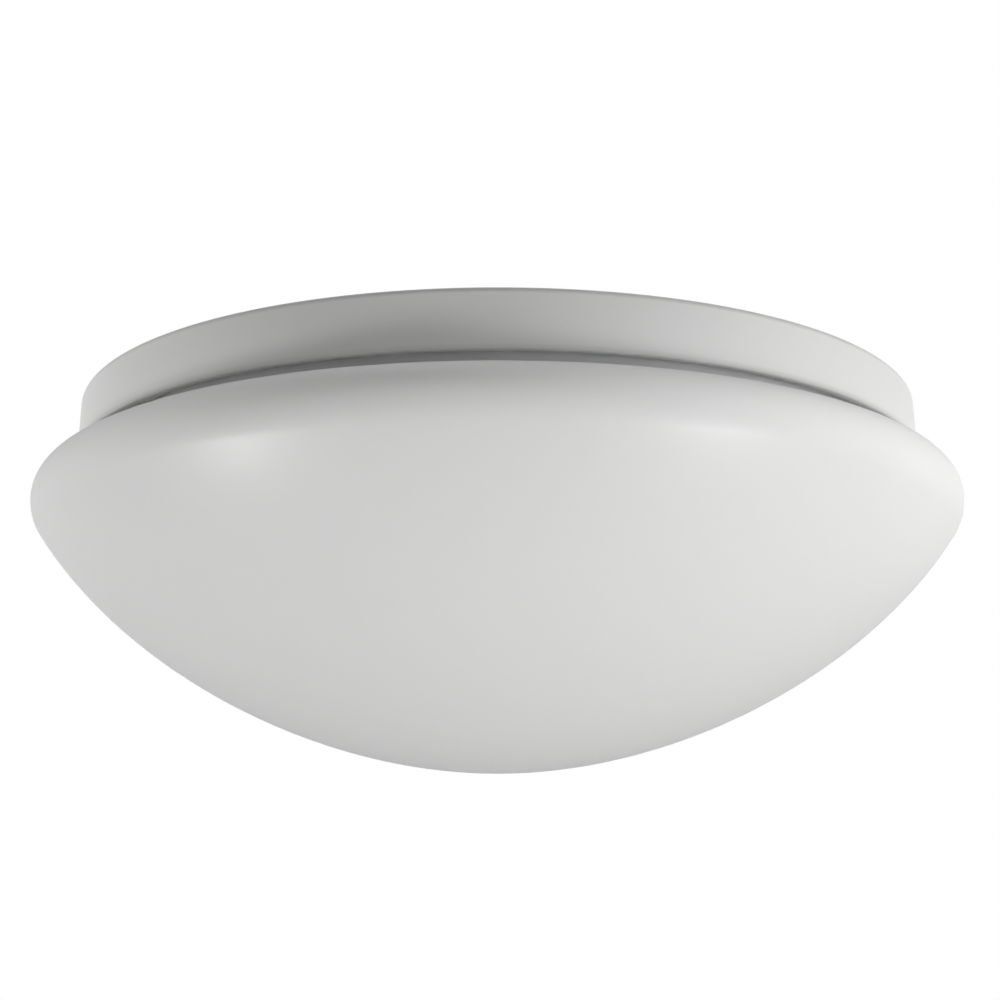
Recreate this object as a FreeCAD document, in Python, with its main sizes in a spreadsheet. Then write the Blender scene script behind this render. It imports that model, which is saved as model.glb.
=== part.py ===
import FreeCAD, Part
import math
import os
import re
import Sketcher
from FreeCAD import Placement, Rotation, Vector

# Flush mount ceiling light. Millimetres and degrees. The origin is the centre of the face that
# meets the ceiling, +Z points up into the ceiling, and the light hangs below it.
# Every level is a height, so a level below the ceiling is negative.

# Driving sizes. Each is a cell of the sheet, and the cell's alias is the name given here.
SIZES = {
    # Diffuser, the opal bowl
    "diffuser_diameter": 300.0,
    "dome_depth": 81.7,
    "diffuser_wall": 2.0,
    "lower_lip": 14.0,
    "upper_lip": 11.0,
    "flank_angle": 33.8,
    "shoulder_angle": 16.8,
    "pole_pull": 57.8,
    "flank_pull": 50.7,
    "neck_play": 2.8,
    "neck_wall": 2.5,
    "rim_gap": 3.2,
    # Screw-in ramps of the base and lugs of the neck
    "starts": 3,
    "thread_lead": 96.0,
    "ramp_span": 20.0,
    "ramp_reach": 2.2,
    "ramp_thickness": 1.9,
    "lug_span": 10.0,
    "lug_reach": 2.3,
    "lug_thickness": 2.0,
    "lug_setback": 0.5,
    "stop_width": 3.0,
    # Base pan
    "base_overhang": 13.6,
    "base_height": 18.1,
    "base_draft": 2.4,
    "base_edge_radius": 1.8,
    "rim_edge_radius": 0.6,
    "rim_wall": 2.6,
    "rim_land": 4.5,
    "plate_recess": 2.0,
    "plate_thickness": 2.5,
    "rib_width": 2.0,
    "rib_count": 8,
    "ring_rib_radius": 62.0,
    "centre_pad_radius": 12.0,
    "gasket_width": 9.0,
    # Seal of the diffuser and its channel
    "seal_height": 2.4,
    "seal_overhang": 0.3,
    "channel_depth": 2.2,
    "channel_rib": 1.8,
    # Clearances
    "body_gap": 0.3,
    "screw_play": 0.3,
    # Fixing slots in the base
    "slot_width": 4.6,
    "slot_length": 12.0,
    "slot_rim": 3.2,
    "slot_spacing_long": 150.0,
    "slot_spacing_short": 80.0,
    "box_slot_spacing": 60.0,
    # Cable entries
    "entry_hole_radius": 9.0,
    "entry_flange_radius": 11.5,
    "entry_flange": 1.4,
    "entry_cone": 2.1,
    "entry_wall": 2.0,
    "cable_radius": 4.0,
    "entry_reach": 78.0,
    "spare_entry_x": 48.0,
    "spare_entry_y": 62.0,
    # Gear tray
    "tray_sheet": 0.8,
    "tray_inset": 7.5,
    "tray_flange_width": 22.0,
    "tray_slope_width": 8.0,
    "tray_lip_height": 3.0,
    "tray_depth": 16.0,
    # Quarter-turn latches of the tray
    "latch_count": 3,
    "latch_inset": 13.0,
    "latch_boss_radius": 8.5,
    "latch_boss_height": 9.5,
    "latch_pocket_radius": 6.0,
    "latch_ledge": 1.8,
    "latch_bar_length": 9.2,
    "latch_bar_width": 2.8,
    "latch_bar_height": 2.0,
    "latch_slot_play": 0.4,
    "latch_shaft_radius": 1.5,
    "latch_head_radius": 7.5,
    "latch_head_height": 1.6,
    "latch_wing_length": 12.0,
    "latch_wing_width": 3.0,
    "latch_wing_height": 4.0,
    # Terminal block and its levers
    "terminal_y": 38.0,
    "terminal_length": 25.0,
    "terminal_width": 18.0,
    "terminal_height": 12.0,
    "terminal_ear": 9.0,
    "terminal_ear_height": 3.0,
    "terminal_post_height": 3.0,
    "core_entry_height": 7.2,
    "core_entry_depth": 6.0,
    "terminal_post_radius": 3.6,
    "pole_pitch": 7.5,
    "pole_count": 3,
    "lever_width": 5.4,
    "lever_length": 12.5,
    "lever_thickness": 1.8,
    "lever_barrel_radius": 1.5,
    "lever_pivot_inset": 3.0,
    "lever_pocket_depth": 3.6,
    # Cord clamp
    "clamp_y": 58.0,
    "clamp_screw_spacing": 26.0,
    "clamp_post_radius": 3.8,
    "clamp_post_height": 8.0,
    "clamp_width": 8.0,
    "clamp_height": 4.0,
    "clamp_arch_rise": 3.0,
    # Small screws
    "screw_radius": 1.5,
    "screw_head_radius": 2.8,
    "screw_head_height": 1.8,
    "screw_bite": 4.4,
    # Lamp board
    "board_inset": 5.0,
    "board_ring_width": 41.0,
    "board_thickness": 1.2,
    "board_screw_inset": 17.0,
    "board_screw_count": 3,
    "chip_length": 3.5,
    "chip_width": 2.8,
    "chip_height": 0.6,
    "phosphor_height": 0.15,
    "phosphor_margin": 0.5,
    "inner_chip_inset": 14.0,
    "inner_chip_count": 16,
    "outer_chip_inset": 8.0,
    "outer_chip_count": 24,
    "connector_length": 8.0,
    "connector_width": 7.0,
    "connector_height": 3.6,
    # Driver
    "driver_inset": 4.0,
    "driver_length": 92.0,
    "driver_width": 40.0,
    "driver_height": 18.6,
    "driver_wall": 1.6,
    "driver_ear": 9.0,
    "driver_ear_width": 12.0,
    "driver_board_margin": 3.2,
    "driver_board_lift": 3.0,
    "driver_board_thickness": 1.6,
    "pillar_inset": 13.0,
    "pillar_radius": 3.0,
    "transformer_length": 19.0,
    "transformer_width": 16.0,
    "transformer_height": 8.5,
    "core_height": 2.8,
    "winding_length": 13.0,
    "winding_width": 19.0,
    "winding_height": 6.8,
    "capacitor_radius": 4.0,
    "capacitor_height": 10.0,
    "capacitor_pitch": 12.0,
    # Bush and leads
    "bush_inset": 17.0,
    "bush_bore": 3.8,
    "bush_hole": 5.5,
    "bush_flange": 7.0,
    "bush_flange_height": 1.2,
    "lead_radius": 1.0,
    "mains_bend_share": 0.45,
    "lamp_bend_share": 0.3,
    "live_exit": 16.0,
    "neutral_exit": 19.0,
    "live_inlet": 12.0,
    "neutral_inlet": 18.0,
    "live_rise": 22.0,
    "neutral_rise": 19.0,
    "lamp_lead_radius": 0.8,
    "lamp_lead_spread": 1.3,
    "earth_x": 22.0,
    "earth_y": 15.0,
    "tag_radius": 3.6,
    "tag_sheet": 0.8,
    "tag_barrel_radius": 1.7,
    "tag_barrel_height": 6.0,
}

# Lengths that follow from the driving sizes, each written once as a formula.
DERIVED = {
    "widest_radius": "diffuser_diameter / 2",
    "rim_radius": "widest_radius - base_overhang",
    "rim_inner": "rim_radius - rim_wall",
    "top_radius": "rim_radius - base_height * tan(base_draft)",
    "land_inner": "top_radius - rim_land",
    "gasket_inner": "land_inner - gasket_width",
    "neck_radius": "rim_inner - neck_play",
    "neck_inner": "neck_radius - neck_wall",
    "plate_back": "0 - plate_recess",
    "plate_front": "0 - plate_recess - plate_thickness",
    "entry_recess": "entry_flange_radius + screw_play",
    "channel_floor": "plate_front - channel_depth",
    "channel_outer": "neck_radius + seal_overhang + body_gap",
    "channel_inner": "neck_inner - seal_overhang - body_gap",
    "seal_top": "plate_front - body_gap",
    "seal_bottom": "seal_top - seal_height",
    "neck_top": "seal_bottom - body_gap",
    # The lip ends where the straight shoulder starts, and the shoulder passes under the rim
    "lip_end_x": "widest_radius - upper_lip * (1 - sin(shoulder_angle))",
    "widest_level": "0 - base_height - rim_gap - (lip_end_x - rim_radius) * tan(shoulder_angle)"
                    " - upper_lip * cos(shoulder_angle)",
    "lip_end_level": "widest_level + upper_lip * cos(shoulder_angle)",
    "pole_level": "widest_level - dome_depth",
    "flank_x": "widest_radius - lower_lip * (1 - cos(flank_angle))",
    "flank_level": "widest_level - lower_lip * sin(flank_angle)",
    # Threads: the lug's high end and the ramp under it
    "lug_top": "neck_top - lug_setback",
    "ramp_top": "lug_top - lug_thickness - body_gap",
    "stop_angle": "(body_gap + stop_width) / rim_inner * 180 / pi",
    "ramp_edge": "rim_inner - ramp_reach",
    "ramp_root": "rim_inner + rim_wall / 3",
    # Tray and what is on it
    "flange_level": "plate_front - latch_boss_height",
    "floor_top": "flange_level - tray_depth",
    "floor_under": "floor_top - tray_sheet",
    "tray_flange_radius": "neck_inner - tray_inset",
    "tray_shoulder": "tray_flange_radius - tray_flange_width",
    "tray_floor_radius": "tray_shoulder - tray_slope_width",
    "board_outer_radius": "tray_floor_radius - board_inset",
    "board_inner_radius": "board_outer_radius - board_ring_width",
    "board_screw_circle": "board_outer_radius - board_screw_inset",
    "inner_chip_circle": "board_inner_radius + inner_chip_inset",
    "outer_chip_circle": "board_outer_radius - outer_chip_inset",
    "bush_x": "board_inner_radius - bush_inset",
    "board_under": "floor_under - board_thickness",
    "chip_under": "board_under - chip_height",
    "cover_top": "floor_top + driver_wall",
    "driver_top": "floor_top + driver_height",
    "driver_back": "0 - sqrt(pow(tray_floor_radius - driver_inset; 2) - pow(driver_length / 2; 2))",
    "driver_front": "driver_back + driver_width",
    "driver_y": "driver_back + driver_width / 2",
    "driver_screw_x": "(driver_length + driver_ear) / 2",
    # Latches
    "latch_circle": "tray_flange_radius - latch_inset",
    "ledge_top": "flange_level + latch_ledge",
    "bar_under": "ledge_top + body_gap",
    "bar_top": "bar_under + latch_bar_height",
    "head_top": "flange_level - tray_sheet - body_gap",
    "head_under": "head_top - latch_head_height",
    "latch_slot_length": "latch_bar_length + 2 * latch_slot_play",
    "latch_slot_width": "latch_bar_width + 2 * latch_slot_play",
    "latch_hole_radius": "latch_slot_length / 2 + latch_slot_play",
    # Terminal block
    "terminal_under": "plate_front - terminal_height",
    "terminal_front": "terminal_y - terminal_width / 2",
    "terminal_back": "terminal_y + terminal_width / 2",
    "terminal_post_x": "(terminal_length + terminal_ear) / 2",
    "pivot_y": "terminal_back - lever_pivot_inset",
    "pivot_level": "terminal_under + lever_barrel_radius + body_gap",
    "clamp_top": "plate_front - clamp_post_height",
    "lead_level": "terminal_under + core_entry_height",
}

DOC = FreeCAD.newDocument("CeilingLight")
SHEET = DOC.addObject("Spreadsheet::Sheet", "Sizes")
for row, (alias, amount) in enumerate(SIZES.items(), 1):
    SHEET.set(f"A{row}", alias)
    SHEET.set(f"B{row}", str(amount))
    SHEET.setAlias(f"B{row}", alias)
DOC.recompute()


def formula(text):
    """A formula in size names as an expression in the sheet's cells."""
    def cell(match):
        word = match.group()
        if word in SIZES:
            return "Sizes." + word
        if word in DERIVED:
            return "(" + formula(DERIVED[word]) + ")"
        return word
    return re.sub(r"[a-z][a-z_]*", cell, str(text))


def number(text):
    """The present value of a formula."""
    return float(SHEET.evalExpression(formula(text)))


def new_body(label):
    part = DOC.addObject("PartDesign::Body", label)
    part.Label = label
    return part


def new_sketch(part, name, plane="XY_Plane", level="0", turn=None):
    """A sketch on an origin plane: XY at a level, or XZ turned about the Z axis."""
    sketch = part.newObject("Sketcher::SketchObject", name)
    base = next(item for item in part.Origin.OriginFeatures if item.Role == plane)
    sketch.AttachmentSupport = [(base, "")]
    sketch.MapMode = "FlatFace"
    if plane == "XY_Plane":
        sketch.setExpression("AttachmentOffset.Base.z", formula(level))
    if turn is not None:
        sketch.AttachmentOffset = Placement(Vector(), Rotation(Vector(0, 1, 0), number(turn)))
        sketch.setExpression("AttachmentOffset.Rotation.Angle", formula(turn))
    return sketch


def pin_value(sketch, kind, geometry, point, text):
    """Fix one coordinate of a point of a sketch at a formula."""
    rule = Sketcher.Constraint(kind, -1, 1, geometry, point, number(text))
    index = sketch.addConstraint(rule)
    sketch.setExpression(f"Constraints[{index}]", formula(text))


def pin_point(sketch, geometry, point, x, y):
    pin_value(sketch, "DistanceX", geometry, point, x)
    pin_value(sketch, "DistanceY", geometry, point, y)


def add_arc(sketch, start, stop, centre):
    """The shorter arc from start to stop, and whether it had to be drawn from stop to start."""
    angles = [math.atan2(end.y - centre.y, end.x - centre.x) for end in (start, stop)]
    sweep = (angles[1] - angles[0]) % (2 * math.pi)
    flipped = sweep > math.pi + 1e-6
    if flipped:
        angles.reverse()
    circle = Part.Circle(centre, Vector(0, 0, 1), (start - centre).Length)
    return sketch.addGeometry(Part.ArcOfCircle(circle, angles[0], angles[1]), False), flipped


def draw_outline(sketch, corners, bends=None):
    """A closed outline through the corners.

    Edge i runs from corner i to the next one, and is straight unless bends[i] says
    ("arc", centre_x, centre_y) or ("curve", first_pull_point, second_pull_point).
    """
    bends = bends or {}
    spots = [Vector(number(x), number(y), 0) for x, y in corners]
    edges = []
    for index, start in enumerate(spots):
        stop = spots[(index + 1) % len(spots)]
        bend = bends.get(index)
        if bend is None:
            edges.append((sketch.addGeometry(Part.LineSegment(start, stop), False), False))
        elif bend[0] == "arc":
            centre = Vector(number(bend[1]), number(bend[2]), 0)
            edges.append(add_arc(sketch, start, stop, centre))
        else:
            pulls = [Vector(number(x), number(y), 0) for x, y in bend[1:]]
            curve = Part.BSplineCurve([start] + pulls + [stop], None, None, False, 3, None, False)
            edges.append((sketch.addGeometry(curve, False), False))
    for index, (edge, flipped) in enumerate(edges):
        following, next_flipped = edges[(index + 1) % len(edges)]
        leave = 1 if flipped else 2
        arrive = 2 if next_flipped else 1
        sketch.addConstraint(Sketcher.Constraint("Coincident", edge, leave, following, arrive))
    for index, (edge, flipped) in enumerate(edges):
        pin_point(sketch, edge, 2 if flipped else 1, *corners[index])
        bend = bends.get(index)
        if bend and bend[0] == "arc":
            chord = spots[(index + 1) % len(spots)] - spots[index]
            if abs(chord.x) < abs(chord.y):
                pin_value(sketch, "DistanceX", edge, 3, bend[1])
            else:
                pin_value(sketch, "DistanceY", edge, 3, bend[2])
        elif bend:
            before = len(sketch.Geometry)
            sketch.exposeInternalGeometry(edge)
            for offset, (x, y) in enumerate(bend[1:], 1):
                pin_point(sketch, before + offset, 3, x, y)
    DOC.recompute()


def draw_circle(sketch, x, y, radius):
    spot = Vector(number(x), number(y), 0)
    circle = sketch.addGeometry(Part.Circle(spot, Vector(0, 0, 1), number(radius)), False)
    pin_point(sketch, circle, 3, x, y)
    index = sketch.addConstraint(Sketcher.Constraint("Radius", circle, number(radius)))
    sketch.setExpression(f"Constraints[{index}]", formula(radius))
    DOC.recompute()


def draw_rectangle(sketch, x, y, length, width):
    """A rectangle with its centre at x, y."""
    left, right = f"({x}) - ({length}) / 2", f"({x}) + ({length}) / 2"
    low, high = f"({y}) - ({width}) / 2", f"({y}) + ({width}) / 2"
    draw_outline(sketch, [(left, low), (right, low), (right, high), (left, high)])


def draw_slot(sketch, x, y, length, radius):
    """A slot along X with round ends, its centre at x, y."""
    reach = f"({length}) / 2 - ({radius})"
    left, right = f"({x}) - ({reach})", f"({x}) + ({reach})"
    low, high = f"({y}) - ({radius})", f"({y}) + ({radius})"
    draw_outline(
        sketch,
        [(left, low), (right, low), (right, high), (left, high)],
        {1: ("arc", right, y), 3: ("arc", left, y)},
    )


def finish_feature(part, feature, grows):
    """Recompute, and stop where a feature has added or cut nothing.

    Faces are merged by the patterns alone, which saves time.
    """
    feature.Refine = False
    before = 0 if part.Shape.isNull() else part.Shape.Volume
    DOC.recompute()
    change = part.Shape.Volume - before
    if (change <= 0) if grows else (change >= 0):
        raise ValueError(f"{part.Label}: {feature.Label} changed the volume by {change:.3f}")
    return feature


def revolve(part, sketch):
    feature = part.newObject("PartDesign::Revolution", sketch.Name + "Turned")
    feature.Profile = sketch
    feature.ReferenceAxis = (sketch, ["V_Axis"])
    feature.Angle = 360
    return finish_feature(part, feature, True)


def pad(part, sketch, length, down=False):
    feature = part.newObject("PartDesign::Pad", sketch.Name + "Pad")
    feature.Profile = sketch
    feature.setExpression("Length", formula(length))
    feature.Reversed = down
    return finish_feature(part, feature, True)


def pocket(part, sketch, length, up=False):
    feature = part.newObject("PartDesign::Pocket", sketch.Name + "Cut")
    feature.Profile = sketch
    feature.setExpression("Length", formula(length))
    feature.Reversed = up
    return finish_feature(part, feature, False)


def helix_rib(part, sketch, span):
    """Sweep a section down a right-hand helix of the thread's lead, over an angle in degrees."""
    feature = part.newObject("PartDesign::AdditiveHelix", sketch.Name + "Helix")
    feature.Profile = sketch
    feature.ReferenceAxis = (sketch, ["V_Axis"])
    feature.Mode = 0
    feature.setExpression("Pitch", formula("thread_lead"))
    feature.setExpression("Height", formula(f"thread_lead * ({span}) / 360"))
    feature.LeftHanded = False
    feature.Reversed = True
    return finish_feature(part, feature, True)


def around(part, features, count, sketch, axis="N_Axis"):
    """Repeat features round the Z axis."""
    feature = part.newObject("PartDesign::PolarPattern", features[0].Name + "Round")
    feature.Originals = features
    feature.Axis = (sketch, [axis])
    feature.Angle = 360
    feature.setExpression("Occurrences", formula(count))
    part.Tip = feature
    DOC.recompute()
    return feature


def round_edges(part, radius, picks, name):
    """Fillet the circular edges about the Z axis at the given (radius, level) formulas."""
    wanted = [(number(r), number(z)) for r, z in picks]
    names = []
    for index, edge in enumerate(part.Shape.Edges, 1):
        curve = edge.Curve
        if not isinstance(curve, Part.Circle):
            continue
        for r, z in wanted:
            if abs(curve.Radius - r) < 0.01 and abs(curve.Center.z - z) < 0.01:
                names.append(f"Edge{index}")
    base = part.Tip
    feature = part.newObject("PartDesign::Fillet", name)
    feature.Base = (base, names)
    feature.setExpression("Radius", formula(radius))
    return finish_feature(part, feature, False)


def discs(part, name, level, spots, radius, height, down=True):
    """Equal round pads at one level."""
    sketch = new_sketch(part, name, level=level)
    for x, y in spots:
        draw_circle(sketch, x, y, radius)
    return pad(part, sketch, height, down)


def drills(part, name, level, spots, radius, depth, up=False):
    """Equal round holes from one level."""
    sketch = new_sketch(part, name, level=level)
    for x, y in spots:
        draw_circle(sketch, x, y, radius)
    return pocket(part, sketch, depth, up)


def block(part, name, level, x, y, length, width, height, down=True):
    sketch = new_sketch(part, name, level=level)
    draw_rectangle(sketch, x, y, length, width)
    return pad(part, sketch, height, down)


def notch(part, name, level, x, y, length, width, depth, up=False):
    sketch = new_sketch(part, name, level=level)
    draw_rectangle(sketch, x, y, length, width)
    return pocket(part, sketch, depth, up)


# Places of what repeats: fixing slots, four in a rectangle and two for a round junction box, and
# pairs of screws
WALL_SLOTS = [
    (f"{sx} * slot_spacing_long / 2", f"{sy} * slot_spacing_short / 2")
    for sx in (-1, 1) for sy in (-1, 1)
]
BOX_SLOTS = [(f"{sx} * box_slot_spacing / 2", "0") for sx in (-1, 1)]
TERMINAL_POSTS = [(f"{sx} * terminal_post_x", "terminal_y") for sx in (-1, 1)]
CLAMP_POSTS = [(f"{sx} * clamp_screw_spacing / 2", "clamp_y") for sx in (-1, 1)]
DRIVER_EARS = [(f"{sx} * driver_screw_x", "driver_y") for sx in (-1, 1)]
CAPACITOR_PLACES = (-2.5, -1.5, 1.5, 2.5)
CENTRE = [("0", "0")]
ENTRIES = [("0", "entry_reach"), ("spare_entry_x", "spare_entry_y")]


def make_base_pan():
    """The moulded base: a shallow pan with its rim down and its ribbed back to the ceiling."""
    pan = new_body("base_pan")
    section = new_sketch(pan, "PanSection", "XZ_Plane")
    draw_outline(section, [
        ("0", "plate_back"),
        ("land_inner", "plate_back"),
        ("land_inner", "0"),
        ("top_radius", "0"),
        ("rim_radius", "0 - base_height"),
        ("rim_inner", "0 - base_height"),
        ("rim_inner", "channel_floor"),
        ("channel_outer", "channel_floor"),
        ("channel_outer", "plate_front"),
        ("channel_inner", "plate_front"),
        ("channel_inner", "channel_floor"),
        ("channel_inner - channel_rib", "channel_floor"),
        ("channel_inner - channel_rib", "plate_front"),
        ("0", "plate_front"),
    ])
    revolve(pan, section)
    round_edges(pan, "base_edge_radius", [("top_radius", "0")], "TopEdge")
    rim_corners = [("rim_radius", "0 - base_height"), ("rim_inner", "0 - base_height")]
    round_edges(pan, "rim_edge_radius", rim_corners, "RimEdges")

    # Back: a centre pad, radial ribs and two ring ribs, all as high as the rim
    discs(pan, "CentrePad", "plate_back", CENTRE, "centre_pad_radius", "plate_recess", down=False)
    rib = new_sketch(pan, "BackRib", level="plate_back")
    draw_rectangle(rib, "gasket_inner / 2", "0", "gasket_inner - 2 * rib_width", "rib_width")
    around(pan, [pad(pan, rib, "plate_recess")], "rib_count", rib)
    for name, outer in (("InnerRing", "ring_rib_radius"), ("OuterRing", "gasket_inner")):
        ring = new_sketch(pan, name, level="plate_back")
        draw_circle(ring, "0", "0", outer)
        draw_circle(ring, "0", "0", f"{outer} - rib_width")
        pad(pan, ring, "plate_recess")
    collars = new_sketch(pan, "SlotCollars", level="plate_back")
    for x, y in WALL_SLOTS + BOX_SLOTS:
        draw_slot(collars, x, y, "slot_length + 2 * slot_rim", "slot_width / 2 + slot_rim")
    pad(pan, collars, "plate_recess")
    discs(pan, "EntryCollars", "plate_back", ENTRIES, "entry_recess + entry_wall", "plate_recess", False)

    # Front: latch bosses, posts for the terminal block and the cord clamp
    latch_spot = [("latch_circle", "0")]
    boss = discs(pan, "LatchBoss", "plate_front", latch_spot, "latch_boss_radius", "latch_boss_height")
    hollow = drills(pan, "LatchHollow", "0", latch_spot, "latch_pocket_radius", "0 - ledge_top")
    slot = notch(pan, "LatchSlot", "ledge_top", "latch_circle", "0", "latch_slot_width",
                 "latch_slot_length", "latch_ledge")
    around(pan, [boss, hollow, slot], "latch_count", slot.Profile[0])
    for name, spots, radius, height in (
        ("Terminal", TERMINAL_POSTS, "terminal_post_radius", "terminal_post_height"),
        ("Clamp", CLAMP_POSTS, "clamp_post_radius", "clamp_post_height"),
    ):
        discs(pan, name + "Posts", "plate_front", spots, radius, height)
        tips = f"plate_front - {height}"
        drills(pan, name + "Pilots", tips, spots, "screw_radius", "screw_bite", up=True)

    # Holes: fixing slots and cable entries
    openings = new_sketch(pan, "Slots")
    for x, y in WALL_SLOTS + BOX_SLOTS:
        draw_slot(openings, x, y, "slot_length", "slot_width / 2")
    pocket(pan, openings, "plate_recess + plate_thickness")
    drills(pan, "EntryRecesses", "0", ENTRIES, "entry_recess", "plate_recess")
    drills(pan, "Entries", "0", ENTRIES, "entry_hole_radius", "plate_recess + plate_thickness")

    # Ramps: helical ribs inside the rim, each with an end stop at its high end
    ramp = new_sketch(pan, "RampSection", "XZ_Plane", turn="stop_angle")
    rise = "thread_lead * stop_angle / 360"
    draw_outline(ramp, [
        ("ramp_edge", f"ramp_top + {rise}"),
        ("ramp_root", f"ramp_top + {rise}"),
        ("ramp_root", f"ramp_top - ramp_thickness + {rise}"),
        ("ramp_edge", f"ramp_top - ramp_thickness + {rise}"),
    ])
    helix = helix_rib(pan, ramp, "ramp_span + stop_angle")
    stop = new_sketch(pan, "StopPlan", level="channel_floor")
    draw_outline(stop, [
        ("ramp_edge", "body_gap"),
        ("ramp_root", "body_gap"),
        ("ramp_root", "body_gap + stop_width"),
        ("ramp_edge", "body_gap + stop_width"),
    ])
    stop_pad = pad(pan, stop, "channel_floor - ramp_top + ramp_thickness / 2", down=True)
    around(pan, [helix, stop_pad], "starts", stop)
    return pan


def make_ceiling_gasket():
    """The foam ring in the recess at the back, level with the ceiling face."""
    gasket = new_body("ceiling_gasket")
    section = new_sketch(gasket, "GasketSection", "XZ_Plane")
    draw_outline(section, [
        ("gasket_inner", "plate_back"),
        ("land_inner", "plate_back"),
        ("land_inner", "0"),
        ("gasket_inner", "0"),
    ])
    revolve(gasket, section)
    return gasket


def make_entry_bush(label, x, y, open_bore):
    """A rubber grommet in a cable entry, or the closed plug of the spare one."""
    bush = new_body(label)
    section = new_sketch(bush, "BushSection", "XZ_Plane")
    inner = "cable_radius" if open_bore else "0"
    draw_outline(section, [
        (inner, "plate_back + entry_flange"),
        ("entry_flange_radius", "plate_back + entry_flange"),
        ("entry_flange_radius", "plate_back"),
        ("entry_hole_radius", "plate_back"),
        ("entry_hole_radius", "plate_front"),
        ("entry_flange_radius", "plate_front"),
        ("entry_hole_radius", "plate_front - entry_cone"),
        (inner, "plate_front - entry_cone"),
    ])
    revolve(bush, section)
    bush.setExpression("Placement.Base.x", formula(x))
    bush.setExpression("Placement.Base.y", formula(y))
    return bush


def make_diffuser_seal():
    """The silicone ring in the channel above the diffuser's neck."""
    seal = new_body("diffuser_seal")
    section = new_sketch(seal, "SealSection", "XZ_Plane")
    draw_outline(section, [
        ("neck_inner - seal_overhang", "seal_top"),
        ("neck_radius + seal_overhang", "seal_top"),
        ("neck_radius + seal_overhang", "seal_bottom"),
        ("neck_inner - seal_overhang", "seal_bottom"),
    ])
    revolve(seal, section)
    return seal


def make_diffuser():
    """The opal bowl: one curved wall from the pole round the lip and shoulder to the neck."""
    bowl = new_body("diffuser")
    inset = "diffuser_wall"
    inner_shoulder = f"{inset} / cos(shoulder_angle)"
    neck_foot = "lip_end_level + (lip_end_x - neck_radius) * tan(shoulder_angle)"
    inner_foot = f"lip_end_level + (lip_end_x - neck_inner) * tan(shoulder_angle) - {inner_shoulder}"
    lower_centre = "widest_radius - lower_lip"
    upper_centre = "widest_radius - upper_lip"
    section = new_sketch(bowl, "BowlSection", "XZ_Plane")
    draw_outline(section, [
        ("0", "pole_level"),
        ("flank_x", "flank_level"),
        ("widest_radius", "widest_level"),
        ("lip_end_x", "lip_end_level"),
        ("neck_radius", neck_foot),
        ("neck_radius", "neck_top"),
        ("neck_inner", "neck_top"),
        ("neck_inner", inner_foot),
        (f"lip_end_x - {inset} * sin(shoulder_angle)", f"lip_end_level - {inset} * cos(shoulder_angle)"),
        (f"widest_radius - {inset}", "widest_level"),
        (f"flank_x - {inset} * cos(flank_angle)", f"flank_level + {inset} * sin(flank_angle)"),
        ("0", f"pole_level + {inset}"),
    ], {
        0: ("curve", ("pole_pull", "pole_level"),
            ("flank_x - flank_pull * sin(flank_angle)", "flank_level - flank_pull * cos(flank_angle)")),
        1: ("arc", lower_centre, "widest_level"),
        2: ("arc", upper_centre, "widest_level"),
        8: ("arc", upper_centre, "widest_level"),
        9: ("arc", lower_centre, "widest_level"),
        10: ("curve",
             (f"flank_x - flank_pull * sin(flank_angle) - {inset} * cos(flank_angle)",
              f"flank_level - flank_pull * cos(flank_angle) + {inset} * sin(flank_angle)"),
             ("pole_pull", f"pole_level + {inset}")),
    })
    revolve(bowl, section)

    # Lugs: short lengths of the same helix, on the outside of the neck
    lug = new_sketch(bowl, "LugSection", "XZ_Plane")
    draw_outline(lug, [
        ("neck_radius + lug_reach", "lug_top - lug_thickness"),
        ("neck_radius + lug_reach", "lug_top"),
        ("neck_radius - neck_wall / 3", "lug_top"),
        ("neck_radius - neck_wall / 3", "lug_top - lug_thickness"),
    ])
    around(bowl, [helix_rib(bowl, lug, "lug_span")], "starts", lug, "V_Axis")
    return bowl


def make_gear_tray():
    """The pressed steel dish that carries the driver above and the lamp board below."""
    tray = new_body("gear_tray")
    section = new_sketch(tray, "TraySection", "XZ_Plane")
    draw_outline(section, [
        ("0", "floor_top"),
        ("tray_floor_radius", "floor_top"),
        ("tray_shoulder", "flange_level"),
        ("tray_flange_radius - tray_sheet", "flange_level"),
        ("tray_flange_radius - tray_sheet", "flange_level + tray_lip_height"),
        ("tray_flange_radius", "flange_level + tray_lip_height"),
        ("tray_flange_radius", "flange_level - tray_sheet"),
        ("tray_shoulder + tray_sheet", "flange_level - tray_sheet"),
        ("tray_floor_radius + tray_sheet", "floor_under"),
        ("0", "floor_under"),
    ])
    revolve(tray, section)
    for name, level, spot, radius, count in (
        ("LatchHole", "flange_level", ("latch_circle", "0"), "latch_hole_radius", "latch_count"),
        ("BoardHole", "floor_top", ("0", "board_screw_circle"), "screw_radius", "board_screw_count"),
    ):
        hole = drills(tray, name, level, [spot], radius, "tray_sheet")
        around(tray, [hole], count, hole.Profile[0])
    drills(tray, "BushHole", "floor_top", [("bush_x", "0")], "bush_hole", "tray_sheet")
    screw_holes = DRIVER_EARS + [("earth_x", "earth_y")]
    drills(tray, "ScrewHoles", "floor_top", screw_holes, "screw_radius", "tray_sheet")
    return tray


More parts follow.
